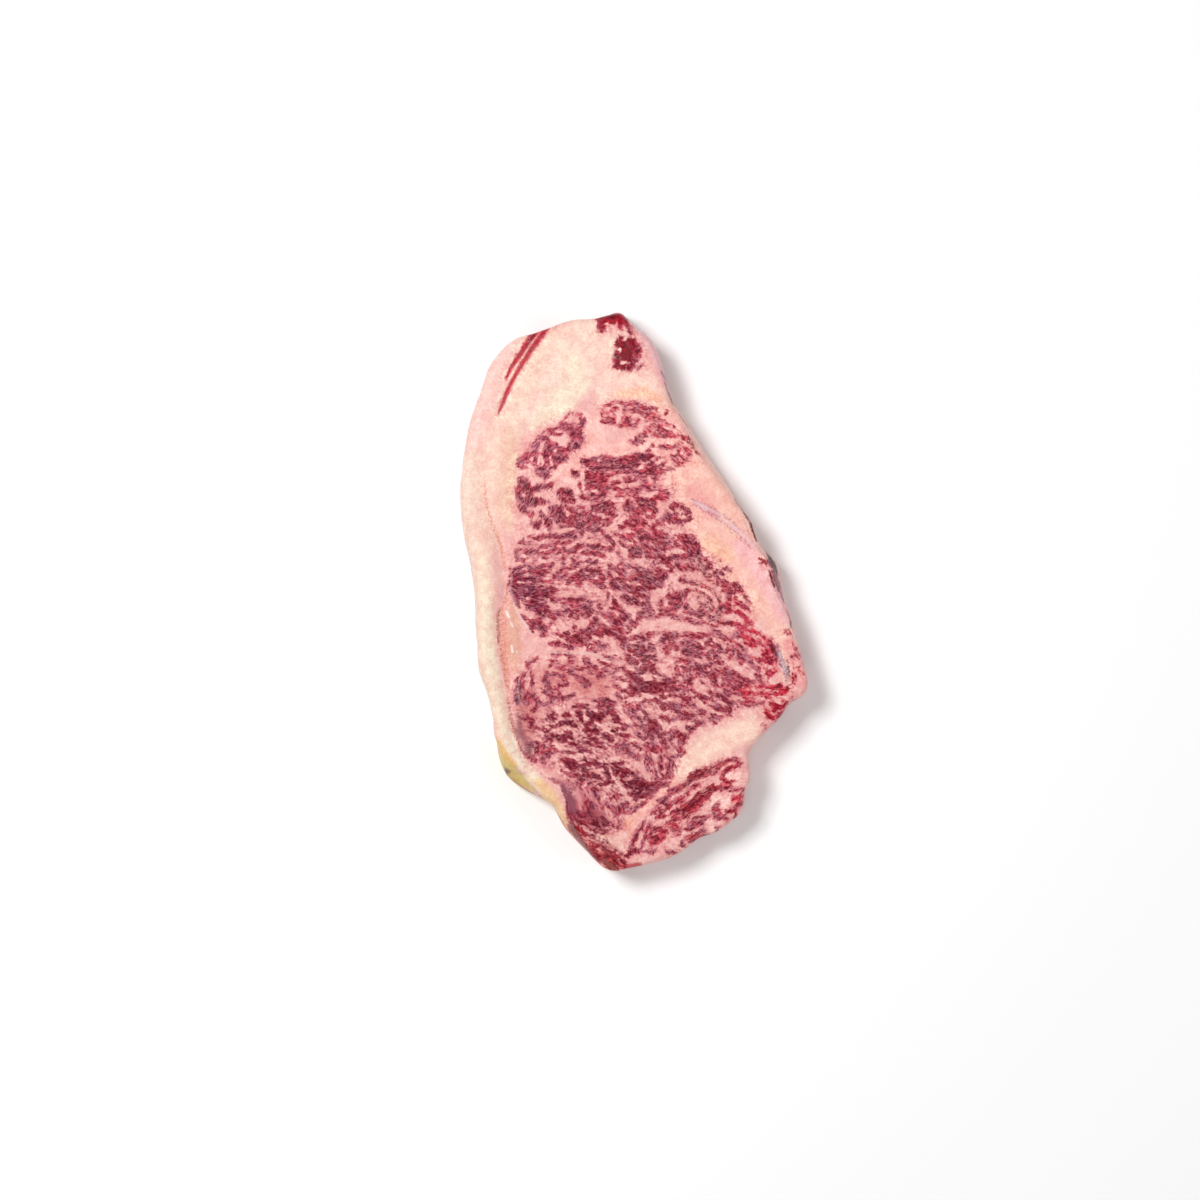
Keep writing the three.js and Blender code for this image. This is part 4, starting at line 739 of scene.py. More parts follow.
# Loose meat between the strokes: wide strokes, each with the depth inside lean that it reaches, in mm.
grounds = [
    (-.75, [(-42,51,5), (-34,58,8), (-25,66,6)]), (-.6, [(-43,45,5), (-43,33,6), (-42,27,4)]),
    (-.5, [(-33,41,5), (-30,34,8), (-33,27,7)]), (-.7, [(-9,72,5), (2,74,5), (9,69,5)]),
    (-.8, [(7,66,4), (14,60,6), (21,52,5)]), (-.2, [(-17,50,4), (-8,47,7), (4,49,6), (11,43,6)]),
    (-.25, [(-14,34,7), (-2,33,10), (9,30,9)]), (-.1, [(-38,14,9), (-24,13,10), (-10,14,10)]),
    (-.1, [(-38,1,9), (-26,0,11), (-12,3,11)]), (-.15, [(-34,-10,7), (-26,-13,7), (-14,-10,9)]),
    (-.2, [(14,22,9), (20,12,9), (28,8,8)]), (-.1, [(0,16,10), (6,2,11), (0,-8,10)]),
    (-.3, [(22,0,9), (32,-4,8), (42,-6,6)]), (-.1, [(-12,-16,8), (0,-22,9), (10,-22,8)]),
    (0, [(16,-22,8), (28,-24,9), (40,-27,9), (52,-27,7)]), (0, [(26,-36,8), (40,-40,7), (54,-40,4)]),
    (0, [(6,-34,9), (16,-42,9), (30,-45,6)]), (-.3, [(-28,-34,6), (-18,-32,6), (-6,-38,8)]),
    (-.35, [(-44,-34,4), (-43,-42,6), (-34,-40,7)]), (0, [(-34,-54,10), (-22,-52,11), (-8,-54,11)]),
    (0, [(4,-52,10), (10,-60,9), (12,-68,6)]), (0, [(-40,-62,5), (-26,-66,8), (-10,-66,11), (2,-66,9)]),
    (.25, [(-22,-72,6), (-10,-78,9), (2,-78,6)]), (.3, [(-21,-88,4), (-14,-90,6), (-8,-92,4)]),
    (.2, [(-18,-99,4), (-12,-104,4), (-6,-108,3)]), (-.3, [(0,-102,4), (8,-96,7), (16,-92,7)]),
    (-.45, [(16,-86,6), (26,-80,7), (36,-75,6)]), (-.6, [(20,-97,4), (32,-91,6), (42,-84,3)]),
    (-.5, [(23,31,4)]), (0, [(-8,108,3)]), (.1, [(-3,97,4)]), (0, [(56,-48,4), (62,-44,3)]),
]

# The way the fibres run, in degrees from +X, along soft strokes.
fibreRuns = [
    (45, [(-42,50,8), (-24,66,8)]), (70, [(-43,42,6), (-43,28,6)]), (60, [(-32,40,7), (-34,27,7)]),
    (-12, [(-10,72,7), (10,70,7)]), (-24, [(8,62,7), (22,52,7)]), (6, [(-18,49,7), (8,48,8)]),
    (-8, [(-4,40,8), (10,40,7)]), (30, [(-14,36,8), (-12,28,8)]), (-40, [(4,34,8), (12,28,8)]),
    (15, [(-44,16,10), (-16,17,10)]), (0, [(-46,2,9), (-20,2,10)]), (-22, [(-40,-10,8), (-22,-14,8)]),
    (-35, [(-6,18,9), (2,4,10), (-6,-8,9)]), (-40, [(12,20,9), (22,10,8)]), (5, [(6,-8,6), (16,-6,7)]),
    (-12, [(22,4,5), (28,3,5)]), (-60, [(33,-2,5)]), (70, [(20,-4,5)]), (0, [(25,-9,5)]),
    (-40, [(36,3,6), (46,-6,6)]), (-15, [(30,-12,5), (44,-15,6)]), (-30, [(-14,-14,8), (-4,-20,8)]),
    (0, [(0,-25,7), (24,-22,8)]), (-30, [(28,-24,7), (46,-24,9)]), (-28, [(30,-36,9), (46,-38,9)]),
    (0, [(46,-42,4), (60,-40,4)]), (-15, [(-2,-34,7), (14,-38,7)]), (-25, [(20,-42,8), (34,-46,8)]),
    (-8, [(-34,-28,7), (-10,-30,7)]), (-15, [(-26,-38,7), (-12,-44,7)]), (70, [(-46,-34,5), (-42,-42,5)]),
    (-20, [(-42,-52,8), (-20,-54,9)]), (-25, [(-10,-50,8), (2,-56,8)]), (-45, [(4,-50,7), (12,-62,8)]),
    (-75, [(6,-66,6), (12,-72,6)]), (-15, [(-28,-62,8), (-6,-64,8)]), (-20, [(-24,-72,7), (-8,-74,7)]),
    (10, [(2,-78,6), (12,-76,5)]), (-60, [(-18,-82,6), (-10,-88,6)]), (-30, [(-18,-98,6), (-6,-106,6)]),
    (65, [(0,-100,5), (6,-93,5)]), (15, [(10,-98,6), (20,-99,5)]), (38, [(12,-88,8), (36,-74,8)]),
    (25, [(24,-94,7), (42,-84,6)]), (60, [(-44,90,6), (-54,78,6)]), (-56, [(28,34,6), (48,20,6)]),
    (-30, [(56,-46,5)]), (-70, [(62,-30,6)]),
]

# Colours as they look in soft light, in 8-bit sRGB, laid over the first one with soft strokes.
fatPaint = {
    "first": (241,176,171),
    "strokes": [
        # the wide fat: the left side and the top, the chine side, the roll
        ((248,202,186), [(-62,-10,10), (-62,20,14), (-60,50,14), (-54,80,16), (-30,96,18), (-10,94,14)]),
        ((251,190,176), [(14,76,9), (28,52,10), (40,30,11), (50,6,10), (60,-16,8), (64,-34,6)]),
        ((246,208,192), [(-67,52,7), (-68,20,7), (-65,-8,6), (-64,-30,6), (-60,-50,6)]),
        # the fatty end, from its left side to the lobes below it
        ((251,200,190), [(-48,98,9), (-57,82,9), (-62,62,8)]),
        ((249,208,190), [(-40,98,10), (-46,80,10), (-52,62,9), (-54,46,8)]),
        ((242,192,172), [(-50,62,6), (-50,48,6), (-52,34,6), (-50,26,4)]),
        ((250,210,194), [(-20,106,10), (-24,94,14), (-30,80,12), (-42,68,8)]),
        ((249,220,198), [(-25,92,6), (-21,84,7), (-29,77,8), (-37,70,6), (-42,65,3)]),
        ((252,206,192), [(-6,100,7), (-12,90,8), (-12,80,7), (4,84,8), (10,76,6)]),
        ((251,190,166), [(-6,79,3), (4,80,3.6), (10,77,3)]),
        ((251,188,180), [(-18,66,9), (-15,57,8), (-28,47,7), (0,60,7), (16,48,9), (16,67,7)]),
        # the chine side, from the upper lobe down to the point
        ((252,192,178), [(20,44,9), (28,26,9), (38,12,9), (50,-4,8), (58,-16,6)]),
        ((243,165,159), [(24,40,5), (30,32,5)]), ((251,184,184), [(44,18,6), (54,4,6), (60,-10,5)]),
        ((251,190,166), [(30,20,5), (37,15,5)]), ((246,166,164), [(62,-20,3.4), (65,-28,4), (67,-36,4)]),
        # the seam, and the fat of the tail
        ((252,206,190), [(46,-55,8), (30,-62,8), (18,-72,6)]),
        ((252,196,190), [(28,-85,4), (34,-82.6,3), (40,-73,4), (32,-94,4)]),
        ((249,180,170), [(14,-76,5), (8,-82,5), (-2,-93,4)]),
        # fat inside the eye, darker towards its lower end
        ((226,148,144), [(-40,-32,6), (-28,-34,9), (-14,-37,9)]),
        ((214,134,130), [(-42,-42,7), (-43,-56,7)]), ((184,94,102), [(-22,-84,7), (-17,-90,8)]),
        ((214,132,132), [(-13,-99,6), (-9,-106,5)]),
        # the lower end of the eye
        ((226,140,142), [(-22.4,-78,1.6), (-21.4,-86,1.6)]),
        ((240,186,174), [(-14,-98,2.4), (-9,-99.6,2.6), (-5,-102.6,2)]),
        ((244,170,156), [(-6,-94,3), (-2,-92,3.4), (-1.4,-98,2)]),
        ((162,72,66), [(-13,-106,2.6), (-9,-108.6,2.6)]), ((204,92,96), [(-4,-110,2), (2,-109.6,2)]),
        # the roll of fat along the left side, and its ridge, lighter along the crest as a painted highlight
        ((247,214,192), [(-61,16,4), (-59.6,0,5), (-59,-20,5.4), (-57,-35,5.6), (-54.2,-46,5),
         (-52.4,-55,5), (-49.6,-63,4.5), (-45,-70,3.5)]),
        ((249,219,197), [(-60,4,2), (-59.2,-8,2.8), (-58.8,-22,3), (-56.6,-36,2.6), (-53.8,-48,2.2),
         (-51.8,-56,1.8)]),
        ((248,214,196), [(-50,-57,2), (-47.4,-63,2.4), (-43.6,-69.6,2.6), (-38,-75.6,2.4)]),
        # the fat beside the crease
        ((231,166,148), [(-48.6,-5,4), (-48.4,-14,5), (-48,-24,5), (-47.4,-31,3)]),
        # the yellowish fold
        ((232,182,118), [(-54.4,-60.4,2.4), (-52.4,-64.6,2.6), (-48,-69.6,2.2)]),
        ((222,186,106), [(-53,-66.6,2.4), (-50,-71.4,3.6), (-45,-76.4,3.6), (-40.4,-79.6,2.4)]),
        ((196,134,72), [(-53.6,-70.6,1.8), (-49.6,-75.6,2), (-44,-80.8,2), (-39,-83.4,1.6)]),
        ((250,218,186), [(-43,-73.8,2.2), (-38.6,-77.4,2.6), (-34.6,-81,2.4)]),
        # the peach-coloured edge from the fold to the lower tip
        ((240,188,150), [(-36,-83.4,4), (-31,-89,4.4), (-27,-95,4), (-23,-101,2.8)]),
        ((236,170,138), [(-24.6,-100,2.4), (-20,-105.6,2.2), (-15,-109.6,2), (-10,-112.6,2)]),
        ((245,196,152), [(-38,-76,3), (-33.6,-81.4,3.8), (-30.4,-86.6,3.2), (-27.6,-92.6,2.4),
         (-23.8,-99,1.8), (-19,-105,1.7), (-14,-109.8,1.5)]),
        ((206,140,100), [(-33.6,-87.4,1.6), (-29.6,-92.6,1.6), (-26.4,-98,1.6)]),
        # a brown spot on the fold
        ((110,66,44), [(-52,-71.8,1.3), (-50.2,-73.2,1.5)]),
    ],
}
leanPaint = {
    "first": (164,70,84),
    "strokes": [
        # the upper lobes and the dense top
        ((176,78,94), [(-40,54,10), (-26,64,10)]), ((180,76,88), [(-8,72,9), (10,66,9), (20,54,8)]),
        ((174,70,84), [(-14,44,12), (6,40,12), (2,24,12)]),
        # the left side and the middle of the eye
        ((146,56,74), [(-44,4,9), (-38,-4,8)]),
        ((166,76,88), [(0,12,12), (6,-4,12), (14,-20,12), (0,-26,10)]),
        # the curl, and the bright red towards the point
        ((182,92,98), [(30,-2,9), (26,8,8), (34,-10,6)]),
        ((178,48,66), [(40,-6,6), (52,-24,7), (58,-38,6), (46,-40,6)]),
        # the lower part of the eye, darker towards its end
        ((146,58,72), [(2,-36,10), (14,-38,8), (8,-52,10)]), ((134,44,60), [(-30,-54,12), (-12,-54,12)]),
        ((130,40,56), [(-22,-68,10), (-8,-74,10), (2,-78,8)]), ((124,36,50), [(-18,-92,8), (-8,-106,8)]),
        # the lower tip, and the tail
        ((158,46,54), [(-23,-95,4), (-16,-104,4), (-6,-109,5)]),
        ((172,62,76), [(10,-98,8), (24,-84,9), (38,-72,8), (38,-88,8)]),
        ((162,66,74), [(20,-77,3), (28,-72,3), (38,-68,2)]),
        ((152,46,58), [(18,-88,3), (26,-82,4), (34,-79,3)]), ((142,38,52), [(-2,-105,3), (2,-98,2)]),
        ((190,66,76), [(22,-99,2), (27,-98,2)]), ((188,62,76), [(39,-83,3), (44,-82,2)]),
        # the fatty end: corner, islet and streaks
        ((160,26,46), [(-8,108,8)]), ((136,24,42), [(-4,92,6), (-3,99,7)]),
        ((176,52,66), [(-36,104,6), (-44,96,6), (-50,84,5), (-53,74,4)]),
        # the point, and lean under the silver skin
        ((172,34,54), [(56,-48,7), (62,-34,5)]),
        ((150,74,84), [(-46.4,-40,3.4), (-45.6,-52,4.6), (-42.6,-62,4.6)]),
    ],
}

# Thin things that lie over both lean and fat, and painted shade and painted highlights over them: colour,
# how opaque, and soft strokes.
filmsAndPaintedLight = {
    # painted shade in the crease beside the roll, over the peach-red of its tissue, darkest as a brown line
    # along its bottom and on down to the lower tip
    "creaseShade": [
        ((226,144,120), .62, [(-51,1,1.8), (-51.8,-5,2.2), (-52.4,-11,2.7), (-52.2,-18,2.8),
         (-51.4,-26,2.4), (-50.6,-33,2.2), (-50,-39,1.6)]),
        ((150,86,60), .6, [(-53.4,-6.6,.9), (-54.5,-9,1.1), (-54.6,-14,1.2), (-54.4,-20,1.1)]),
        ((190,108,84), .5, [(-53.8,-20,1.1), (-53,-27,1.2), (-51.8,-34,1), (-50.8,-40,.9)]),
        ((164,92,80), .6, [(-50.4,-42,1), (-49.8,-48,1.3), (-48.4,-54,1.4), (-46.6,-59.6,1.3),
         (-43.6,-65.4,1.1)]),
        ((190,116,98), .5, [(-42,-68.4,.8), (-36.6,-73,.9), (-31.4,-76.4,.8)]),
        ((150,84,76), .6, [(-28.6,-79,.7), (-26.9,-84,.7), (-26.6,-88,.7), (-25.2,-93,.8), (-22,-98.6,.8),
         (-18.4,-103.2,.8)]),
        ((232,158,130), .6, [(-51.4,10,1.4), (-53.4,19,1.4), (-56.6,27.5,1.4), (-59.4,36,1.2),
         (-59.8,46,.8)]),
    ],
    # a grey-mauve strip of painted shade along the left rim, where the roll turns down
    "leftRimShade": [
        ((190,164,164), .5, [(-66.4,22,.6), (-65.6,8,1.4), (-65,-20,1.4), (-63.6,-32,1.3), (-60.4,-41,1.2),
         (-57.8,-50,1.2), (-55.8,-60,.8)]),
    ],
    "glints": [
        ((255,250,244), .75, [(-51,-8,1), (-50,-10,1)]),
        ((255,250,244), .7, [(-49.4,-12,.9), (-48.4,-14,.8)]),
        ((255,246,238), .7, [(-49,-21.6,.9), (-48.6,-24,.9)]),
        ((255,246,238), .6, [(-47,-23.4,.9), (-46.6,-25,.7)]),
    ],
    "membranes": [
        ((244,214,206), .4, [(-42,23,.9), (-46,18.4,.9), (-49,9,1), (-49.6,0,1), (-46.4,-9,1),
         (-40,-18,.9)]),
        ((240,224,226), .5, [(-47.6,-6,.6), (-45.4,-10,.7), (-43,-13.6,.7), (-41,-17,.6)]),
        ((236,204,198), .5, [(-46,-43,.8), (-46.6,-37,.8), (-44,-29,.9), (-38,-24.6,.9)]),
        ((240,214,206), .55, [(-36,-24,.8), (-26,-24.4,.9), (-18,-24.6,.9), (-11,-26.6,.8), (-5,-28.6,.8),
         (0,-29.8,.6)]),
    ],
    "silverSkin": [
        ((176,112,118), .4, [(-46,-44,2.4), (-45.4,-51,3), (-43.6,-58,3.2), (-40.6,-64.4,2.8)]),
        ((204,152,152), .4, [(-48,-36,1.2), (-48.4,-43,1.4), (-47.6,-50,1.8), (-46,-57,2), (-43.6,-63,2),
         (-40,-67.6,1.4)]),
        ((136,70,78), .34, [(-46.6,-48,1.2), (-45.4,-56,1.6), (-43,-62,1.6), (-40.6,-66,1.2)]),
        ((142,82,102), .4, [(-48.4,6,1.4), (-48.6,0,1.8), (-47.2,-5,1.6)]),
    ],
    "foldFlap": [
        ((186,108,118), .85, [(-33,-74.6,1.8), (-29,-76.6,2.4), (-25,-78.4,2.4), (-22.4,-79.4,1.6)]),
        ((150,82,96), .95, [(-28.6,-78,2), (-26.4,-81,3), (-24.6,-84.6,2.8), (-24,-87.6,2)]),
        ((224,148,150), .8, [(-22.6,-79,1.1), (-21.8,-83,1.2), (-21.4,-87,1)]),
        ((112,46,58), .7, [(-27,-84,.8), (-26.8,-88,.9), (-25,-91,.8)]),
    ],
    "lowTip": [
        ((150,82,74), .8, [(-12,-107.4,1.6), (-9.6,-109.4,1.8), (-8,-111,1.6)]),
    ],
    "chineMembraneAndSheen": [
        ((240,196,204), .6, [(21,37.4,1), (26,35,1.8), (32,31.6,2), (38,27.6,2), (44,22.4,1.8),
         (49,16.4,1.2)]),
        ((194,128,138), .5, [(22,37.2,.7), (27,36,.9), (33,32.8,.9), (39,28.6,.9), (44,24.2,.8)]),
        ((186,106,120), .5, [(24,35.2,.7), (29,31.8,.8), (35,28,.8), (41,23.6,.8), (46.4,18.4,.7)]),
        # a pale line of painted sheen along the membrane
        ((226,204,214), .5, [(24.4,36,.6), (29,33.4,.7), (33,30.6,.5)]),
        ((206,96,96), .6, [(29.6,32.6,.6), (34,30,.6)]),
        ((208,104,104), .55, [(38,24.4,.5), (43,20.4,.6), (47,17,.5)]),
    ],
    "driedEdge": [
        ((96,44,42), .8, [(40.6,37.6,.9), (42.6,34.6,1.1), (44.4,31.4,1), (46.4,28.4,1.1), (47.4,24.6,1),
         (49,20.6,.9)]),
        ((190,152,160), .5, [(43.6,29.6,.7), (45.2,26,.8), (46.6,21.6,.8), (50,17,.8), (53,13,.8)]),
        ((54,16,18), .97, [(53.6,16,1.4), (55,13.4,2), (56.8,10,2.1), (58,7,1.4)]),
        ((176,40,44), .8, [(50,13.4,1), (52.2,12.6,.9), (53,10.6,.7)]),
        ((120,30,40), .85, [(54,8.6,.9), (55,5.6,1), (56.2,2,.9)]),
        ((150,108,124), .75, [(56,10,.8), (57.4,6,1.5), (58.6,2,1.7), (59.6,-2,1.5), (60.4,-5,.9)]),
    ],
    "chineCorner": [
        ((196,70,76), .6, [(61,-6.4,.8), (62,-9.4,.9), (63,-12.6,.8)]),
        ((190,60,70), .7, [(61.8,-15,.7), (63.4,-17.4,.7)]),
        ((150,112,132), .66, [(56.4,-18.6,1), (57.8,-23,1.7), (59.2,-28,2), (60.6,-32.4,1.9),
         (61.6,-37,1.3)]),
        ((112,30,46), .7, [(54.8,-19.6,.9), (56,-24,1), (57.4,-29,.8)]),
        ((96,46,68), .7, [(61.4,-27,.8), (62.2,-31,1), (62.8,-35,.8)]),
        # a pale line of painted highlight along the middle of the lilac strip
        ((226,210,220), .7, [(58,-24,.5), (59.4,-28.4,.6), (60.4,-33,.5)]),
        ((206,92,98), .55, [(63.4,-20,.9), (64.6,-24,1.1)]),
        ((196,80,88), .6, [(66,-31.4,1.2), (67.2,-34.4,1.1)]),
        ((192,76,86), .5, [(63.2,-26.6,.9), (63.8,-29.6,.8)]),
        ((190,56,64), .75, [(64.4,-25,.7), (66,-27,.8)]),
        ((176,44,54), .75, [(63.6,-30.6,.6), (66.4,-29.8,.7)]),
    ],
    "chineLine": [
        # a pinkish-white line of painted highlight along the rim of the chine side
        ((250,236,236), .6, [(54.8,2,.5), (58.4,-5,.5), (61.4,-11,.5), (64.4,-19,.5), (66.8,-26,.4)]),
        ((130,96,110), .6, [(62.6,-12,.8), (62.8,-14,.8)]),
    ],
    "upperRim": [
        # a pale pink strip along the rim: membrane colour with a painted silvery sheen
        ((238,196,206), .6, [(1.6,105,1.4), (6.4,99,1.8), (10,91,1.8), (13.4,82,1.6), (18,73,1.4),
         (23.6,63.6,1.4), (29.6,54,1.2)]),
        ((150,88,106), .6, [(12.4,84,.6), (13.8,79.4,.6), (16.6,75,.6)]),
        ((142,84,104), .6, [(18.2,71.4,.6), (22,66,.6)]), ((176,118,136), .5, [(3.4,99.6,.6), (4.8,97,.6)]),
    ],
    "streakStain": [
        ((206,96,92), .5, [(-37.4,104.4,1.6), (-43,95.6,1.9), (-47,88.6,1.5), (-51,80.6,.9)]),
    ],
    "flecks": [
        ((110,60,70), .6, [(14,80,.6), (15.5,75,.7)]), ((110,66,78), .6, [(24.5,64,.6), (28,60,.6)]),
        ((106,60,72), .6, [(28,58,.6), (33,51,.7)]), ((110,52,84), .6, [(11,88,.8), (13,85,.8)]),
        ((214,120,104), .6, [(3.5,90.5,.8)]), ((210,90,70), .7, [(66,-31,.8), (68,-33,.8)]),
        ((188,110,86), .6, [(46.4,-75.4,1)]), ((120,80,60), .6, [(-62.6,81.5,.6), (-63,78,.6)]),
        ((170,40,50), .8, [(-38,-82,.8), (-36.5,-83.5,.8)]),
    ],
}

# Where the wet surface glistens in fine points.
glistening = [
    [(-37,55,6), (-45,39,4)], [(-43,49,4)], [(-19,46,4)], [(-42,-58,4), (-40,-65,4)], [(-15,-80,5)],
    [(-9,-91,3), (-8,-78,3)], [(-25,-17,4)], [(-46,-5,4)], [(-19.6,-47,3)], [(60.6,-37,2)],
    [(-62,-6,3), (-60,-26,3), (-57,-44,3)],
]

# Where the meat has little grain.
calmPlaces = [
    [(-36,105,5), (-44,95,5), (-50,83,5), (-54,72,4)], [(-14,107,4), (-8,110,5), (-3,107,4)],
    [(-4,93,5), (-2.6,99,5)], [(-33,-75,4), (-26,-79,5), (-24,-87,5)],
]


marbling = {  # in mm
    "cleanFat": -3.0,  # depths inside lean, so negative in fat
    "deepLean": 1.2,
    "spread": 0.3,  # how far lean runs past the edge of its strokes
    "sparseSpread": 0.1,
    "sparse": ("fatStreaks", "upperLeft", "upperRight", "point"),
    "strokeReach": 3,  # how far from a stroke its depth is worked out
    "groundReach": 6,
    "groundDrop": 0.42,
    "groundSlope": 0.5,
    "fatDepth": 2.1,  # keeps fat strokes clear of the grain
    "calm": 0.8,  # the share of their grain that calm places lose
    "bendBelow": 20,  # under this height the tissue bends a little on its way down
    "bend": 3.0,
    "bendAcross": (11, 5),  # lengths of its waves along the steak and down the side
    "bendAlong": (9, 4),
}
painting = {
    "exposure": 0.86,  # of all shades, for the studio's light
    "firmness": 1.6,  # makes a soft stroke full over its inner part
    "glistenAbove": 17,  # heights in mm, each with the height over which it fades in
    "glistenFade": 3,
    "filmAbove": 8,
    "filmFade": 8,
    "filmLeast": 0.12,  # what stays of the films and their painted shade and highlights lower down
}


def softLight(colour):  # an 8-bit sRGB colour, as the linear one that looks like it in the studio
    shares = [c / 255 for c in colour]
    linear = [s / 12.92 if s < 0.04045 else ((s + 0.055) / 1.055) ** 2.4 for s in shares]
    return [painting["exposure"] * s for s in linear]


def placesNear(x, y, stroke, reach):
    across, along, widths = np.array(stroke, float).T
    margin = widths.max() + reach
    inside = (x > across.min() - margin) & (x < across.max() + margin)
    return np.flatnonzero(inside & (y > along.min() - margin) & (y < along.max() + margin))


def depthInside(x, y, stroke):  # distance inside the edge of a stroke, negative outside it
    depth = np.full(len(x), -np.inf)
    for (ax, ay, aWidth), (bx, by, bWidth) in zip(stroke, stroke[1:] or stroke):
        dx, dy = bx - ax, by - ay
        share = np.clip(((x - ax) * dx + (y - ay) * dy) / max(dx * dx + dy * dy, tiny), 0, 1)
        gap = np.hypot(x - ax - share * dx, y - ay - share * dy)
        depth = np.maximum(depth, aWidth + (bWidth - aWidth) * share - gap)
    return depth


def softTouch(x, y, stroke):  # 1 along the middle of a stroke, and 0 at its edge
    full = max(width for _, _, width in stroke)
    share = np.clip(depthInside(x, y, stroke) / full, 0, 1)
    return share * share * (3 - 2 * share)


def leanDepth(x, y):  # how far inside lean a place is, and negative in fat
    lean = np.full(len(x), marbling["cleanFat"])
    for level, stroke in grounds:
        near = placesNear(x, y, stroke, marbling["groundReach"])
        edge = depthInside(x[near], y[near], stroke)
        level -= marbling["groundDrop"]
        lean[near] = np.maximum(lean[near], level + np.minimum(0, marbling["groundSlope"] * edge))
    for name, muscle in muscles.items():
        spread = marbling["sparseSpread"] if name in marbling["sparse"] else marbling["spread"]
        for kind in ("lean", "fat", "lines"):
            for stroke in muscle.get(kind, []):
                near = placesNear(x, y, stroke, marbling["strokeReach"])
                depth = depthInside(x[near], y[near], stroke)
                if kind == "lean":
                    depth += spread
                if kind == "fat":
                    lean[near] = np.minimum(lean[near], -marbling["fatDepth"] * depth)
                else:
                    lean[near] = np.maximum(lean[near], depth)
    return np.clip(lean, marbling["cleanFat"], marbling["deepLean"])


def fibreDirections(x, y):  # cosine and sine of twice the angle, and how much grain there is
    total = np.zeros((len(x), 3))
    for degrees, stroke in fibreRuns:
        near = placesNear(x, y, stroke, 0)
        touch = softTouch(x[near], y[near], stroke)
        twice = 2 * math.radians(degrees)
        total[near] += touch[:, None] * (math.cos(twice), math.sin(twice), 0)
    length = np.maximum(np.hypot(total[:, 0], total[:, 1]), tiny)
    firm = np.clip(length * 2, 0, 1)
    total[:, :2] *= (firm / length)[:, None]
    total[:, 2] = 1
    for stroke in calmPlaces:
        total[:, 2] = np.minimum(total[:, 2], 1 - marbling["calm"] * softTouch(x, y, stroke))
    return total


def layPaint(x, y, paint):
    colour = np.tile(softLight(paint["first"]) + [1.0], (len(x), 1))
    for shade, stroke in paint["strokes"]:
        near = placesNear(x, y, stroke, 0)
        touch = np.minimum(painting["firmness"] * softTouch(x[near], y[near], stroke)[:, None], 1)
        colour[near, :3] += touch * (np.array(softLight(shade)) - colour[near, :3])
    return colour


def layFilmsAndPaintedLight(x, y):  # colour with its opacity
    colour = np.zeros((len(x), 4))
    for shade, opacity, stroke in [filmAndPaintedLight for place in filmsAndPaintedLight.values() for filmAndPaintedLight in place]:
        near = placesNear(x, y, stroke, 0)
        touch = opacity * softTouch(x[near], y[near], stroke)[:, None]
        touch = np.minimum(painting["firmness"] * touch, opacity)
        rest = colour[near, 3:] * (1 - touch)
        total = np.maximum(touch + rest, tiny)
        colour[near, :3] = (touch * np.array(softLight(shade)) + rest * colour[near, :3]) / total
        colour[near, 3:] = touch + rest
    return colour


body = {  # in mm where nothing else is said
    "name": "marbled_steak",
    "levels": 2,  # of subdivision
    "merge": 0.01,
    "quadAngle": 70,  # degrees
    "footHeight": 0.02,  # the underside's faces lie below this
    "footFacing": -0.99,
    "footSpacing": 1.4,  # of the underside's net
    "footGap": 0.6,  # between the net and the rim, in spacings
    "netPrecision": 0.0001,
    "fatRise": 0.12,  # fat stands proud of lean
    "riseFrom": -0.5,  # depths in fat between which it rises
    "riseTo": 0.7,
    "unevenness": 0.1,
    "unevenSize": 2.2,
    "evenBelow": 1,
}


def selectOnly(piece):
    bpy.ops.object.select_all(action="DESELECT")
    piece.select_set(True)
    bpy.context.view_layer.objects.active = piece


def smoothShell(solid):  # the solid's faces, subdivided, without the flat underside
    mesh = solid.data.copy()
    shell = bpy.data.objects.new(body["name"], mesh)
    bpy.context.scene.collection.objects.link(shell)
    selectOnly(shell)
    bpy.ops.object.mode_set(mode="EDIT")
    bpy.ops.mesh.select_all(action="SELECT")
    bpy.ops.mesh.remove_doubles(threshold=body["merge"] * mm)
    widest = math.radians(body["quadAngle"])
    bpy.ops.mesh.tris_convert_to_quads(face_threshold=widest, shape_threshold=widest)
    bpy.ops.mesh.select_all(action="DESELECT")
    bpy.ops.mesh.select_mode(type="FACE")
    bpy.ops.object.mode_set(mode="OBJECT")
    for face in mesh.polygons:
        face.select = face.normal.z < body["footFacing"] and face.center.z < body["footHeight"] * mm
    bpy.ops.object.mode_set(mode="EDIT")
    bpy.ops.mesh.delete(type="FACE")
    bpy.ops.object.mode_set(mode="OBJECT")
    rounding = shell.modifiers.new("rounding", "SUBSURF")
    rounding.levels = rounding.render_levels = body["levels"]
    bpy.ops.object.modifier_apply(modifier=rounding.name)
    return shell


def insideRing(points, ring):  # which points lie inside a closed ring
    inside = np.zeros(len(points), bool)
    for (ax, ay), (bx, by) in zip(ring, np.roll(ring, -1, axis=0)):
        crosses = (points[:, 1] < ay) != (points[:, 1] < by)
        if ay != by:
            inside ^= crosses & (points[:, 0] < ax + (bx - ax) * (points[:, 1] - ay) / (by - ay))
    return inside


def openRim(work):  # the vertices round the open foot, in order
    follow = {}
    for edge in work.edges:
        if edge.is_boundary:
            loop = edge.link_loops[0]
            follow[loop.link_loop_next.vert] = loop.vert
    rim = [next(iter(follow))]
    while follow[rim[-1]] is not rim[0]:
        rim.append(follow[rim[-1]])
    return rim


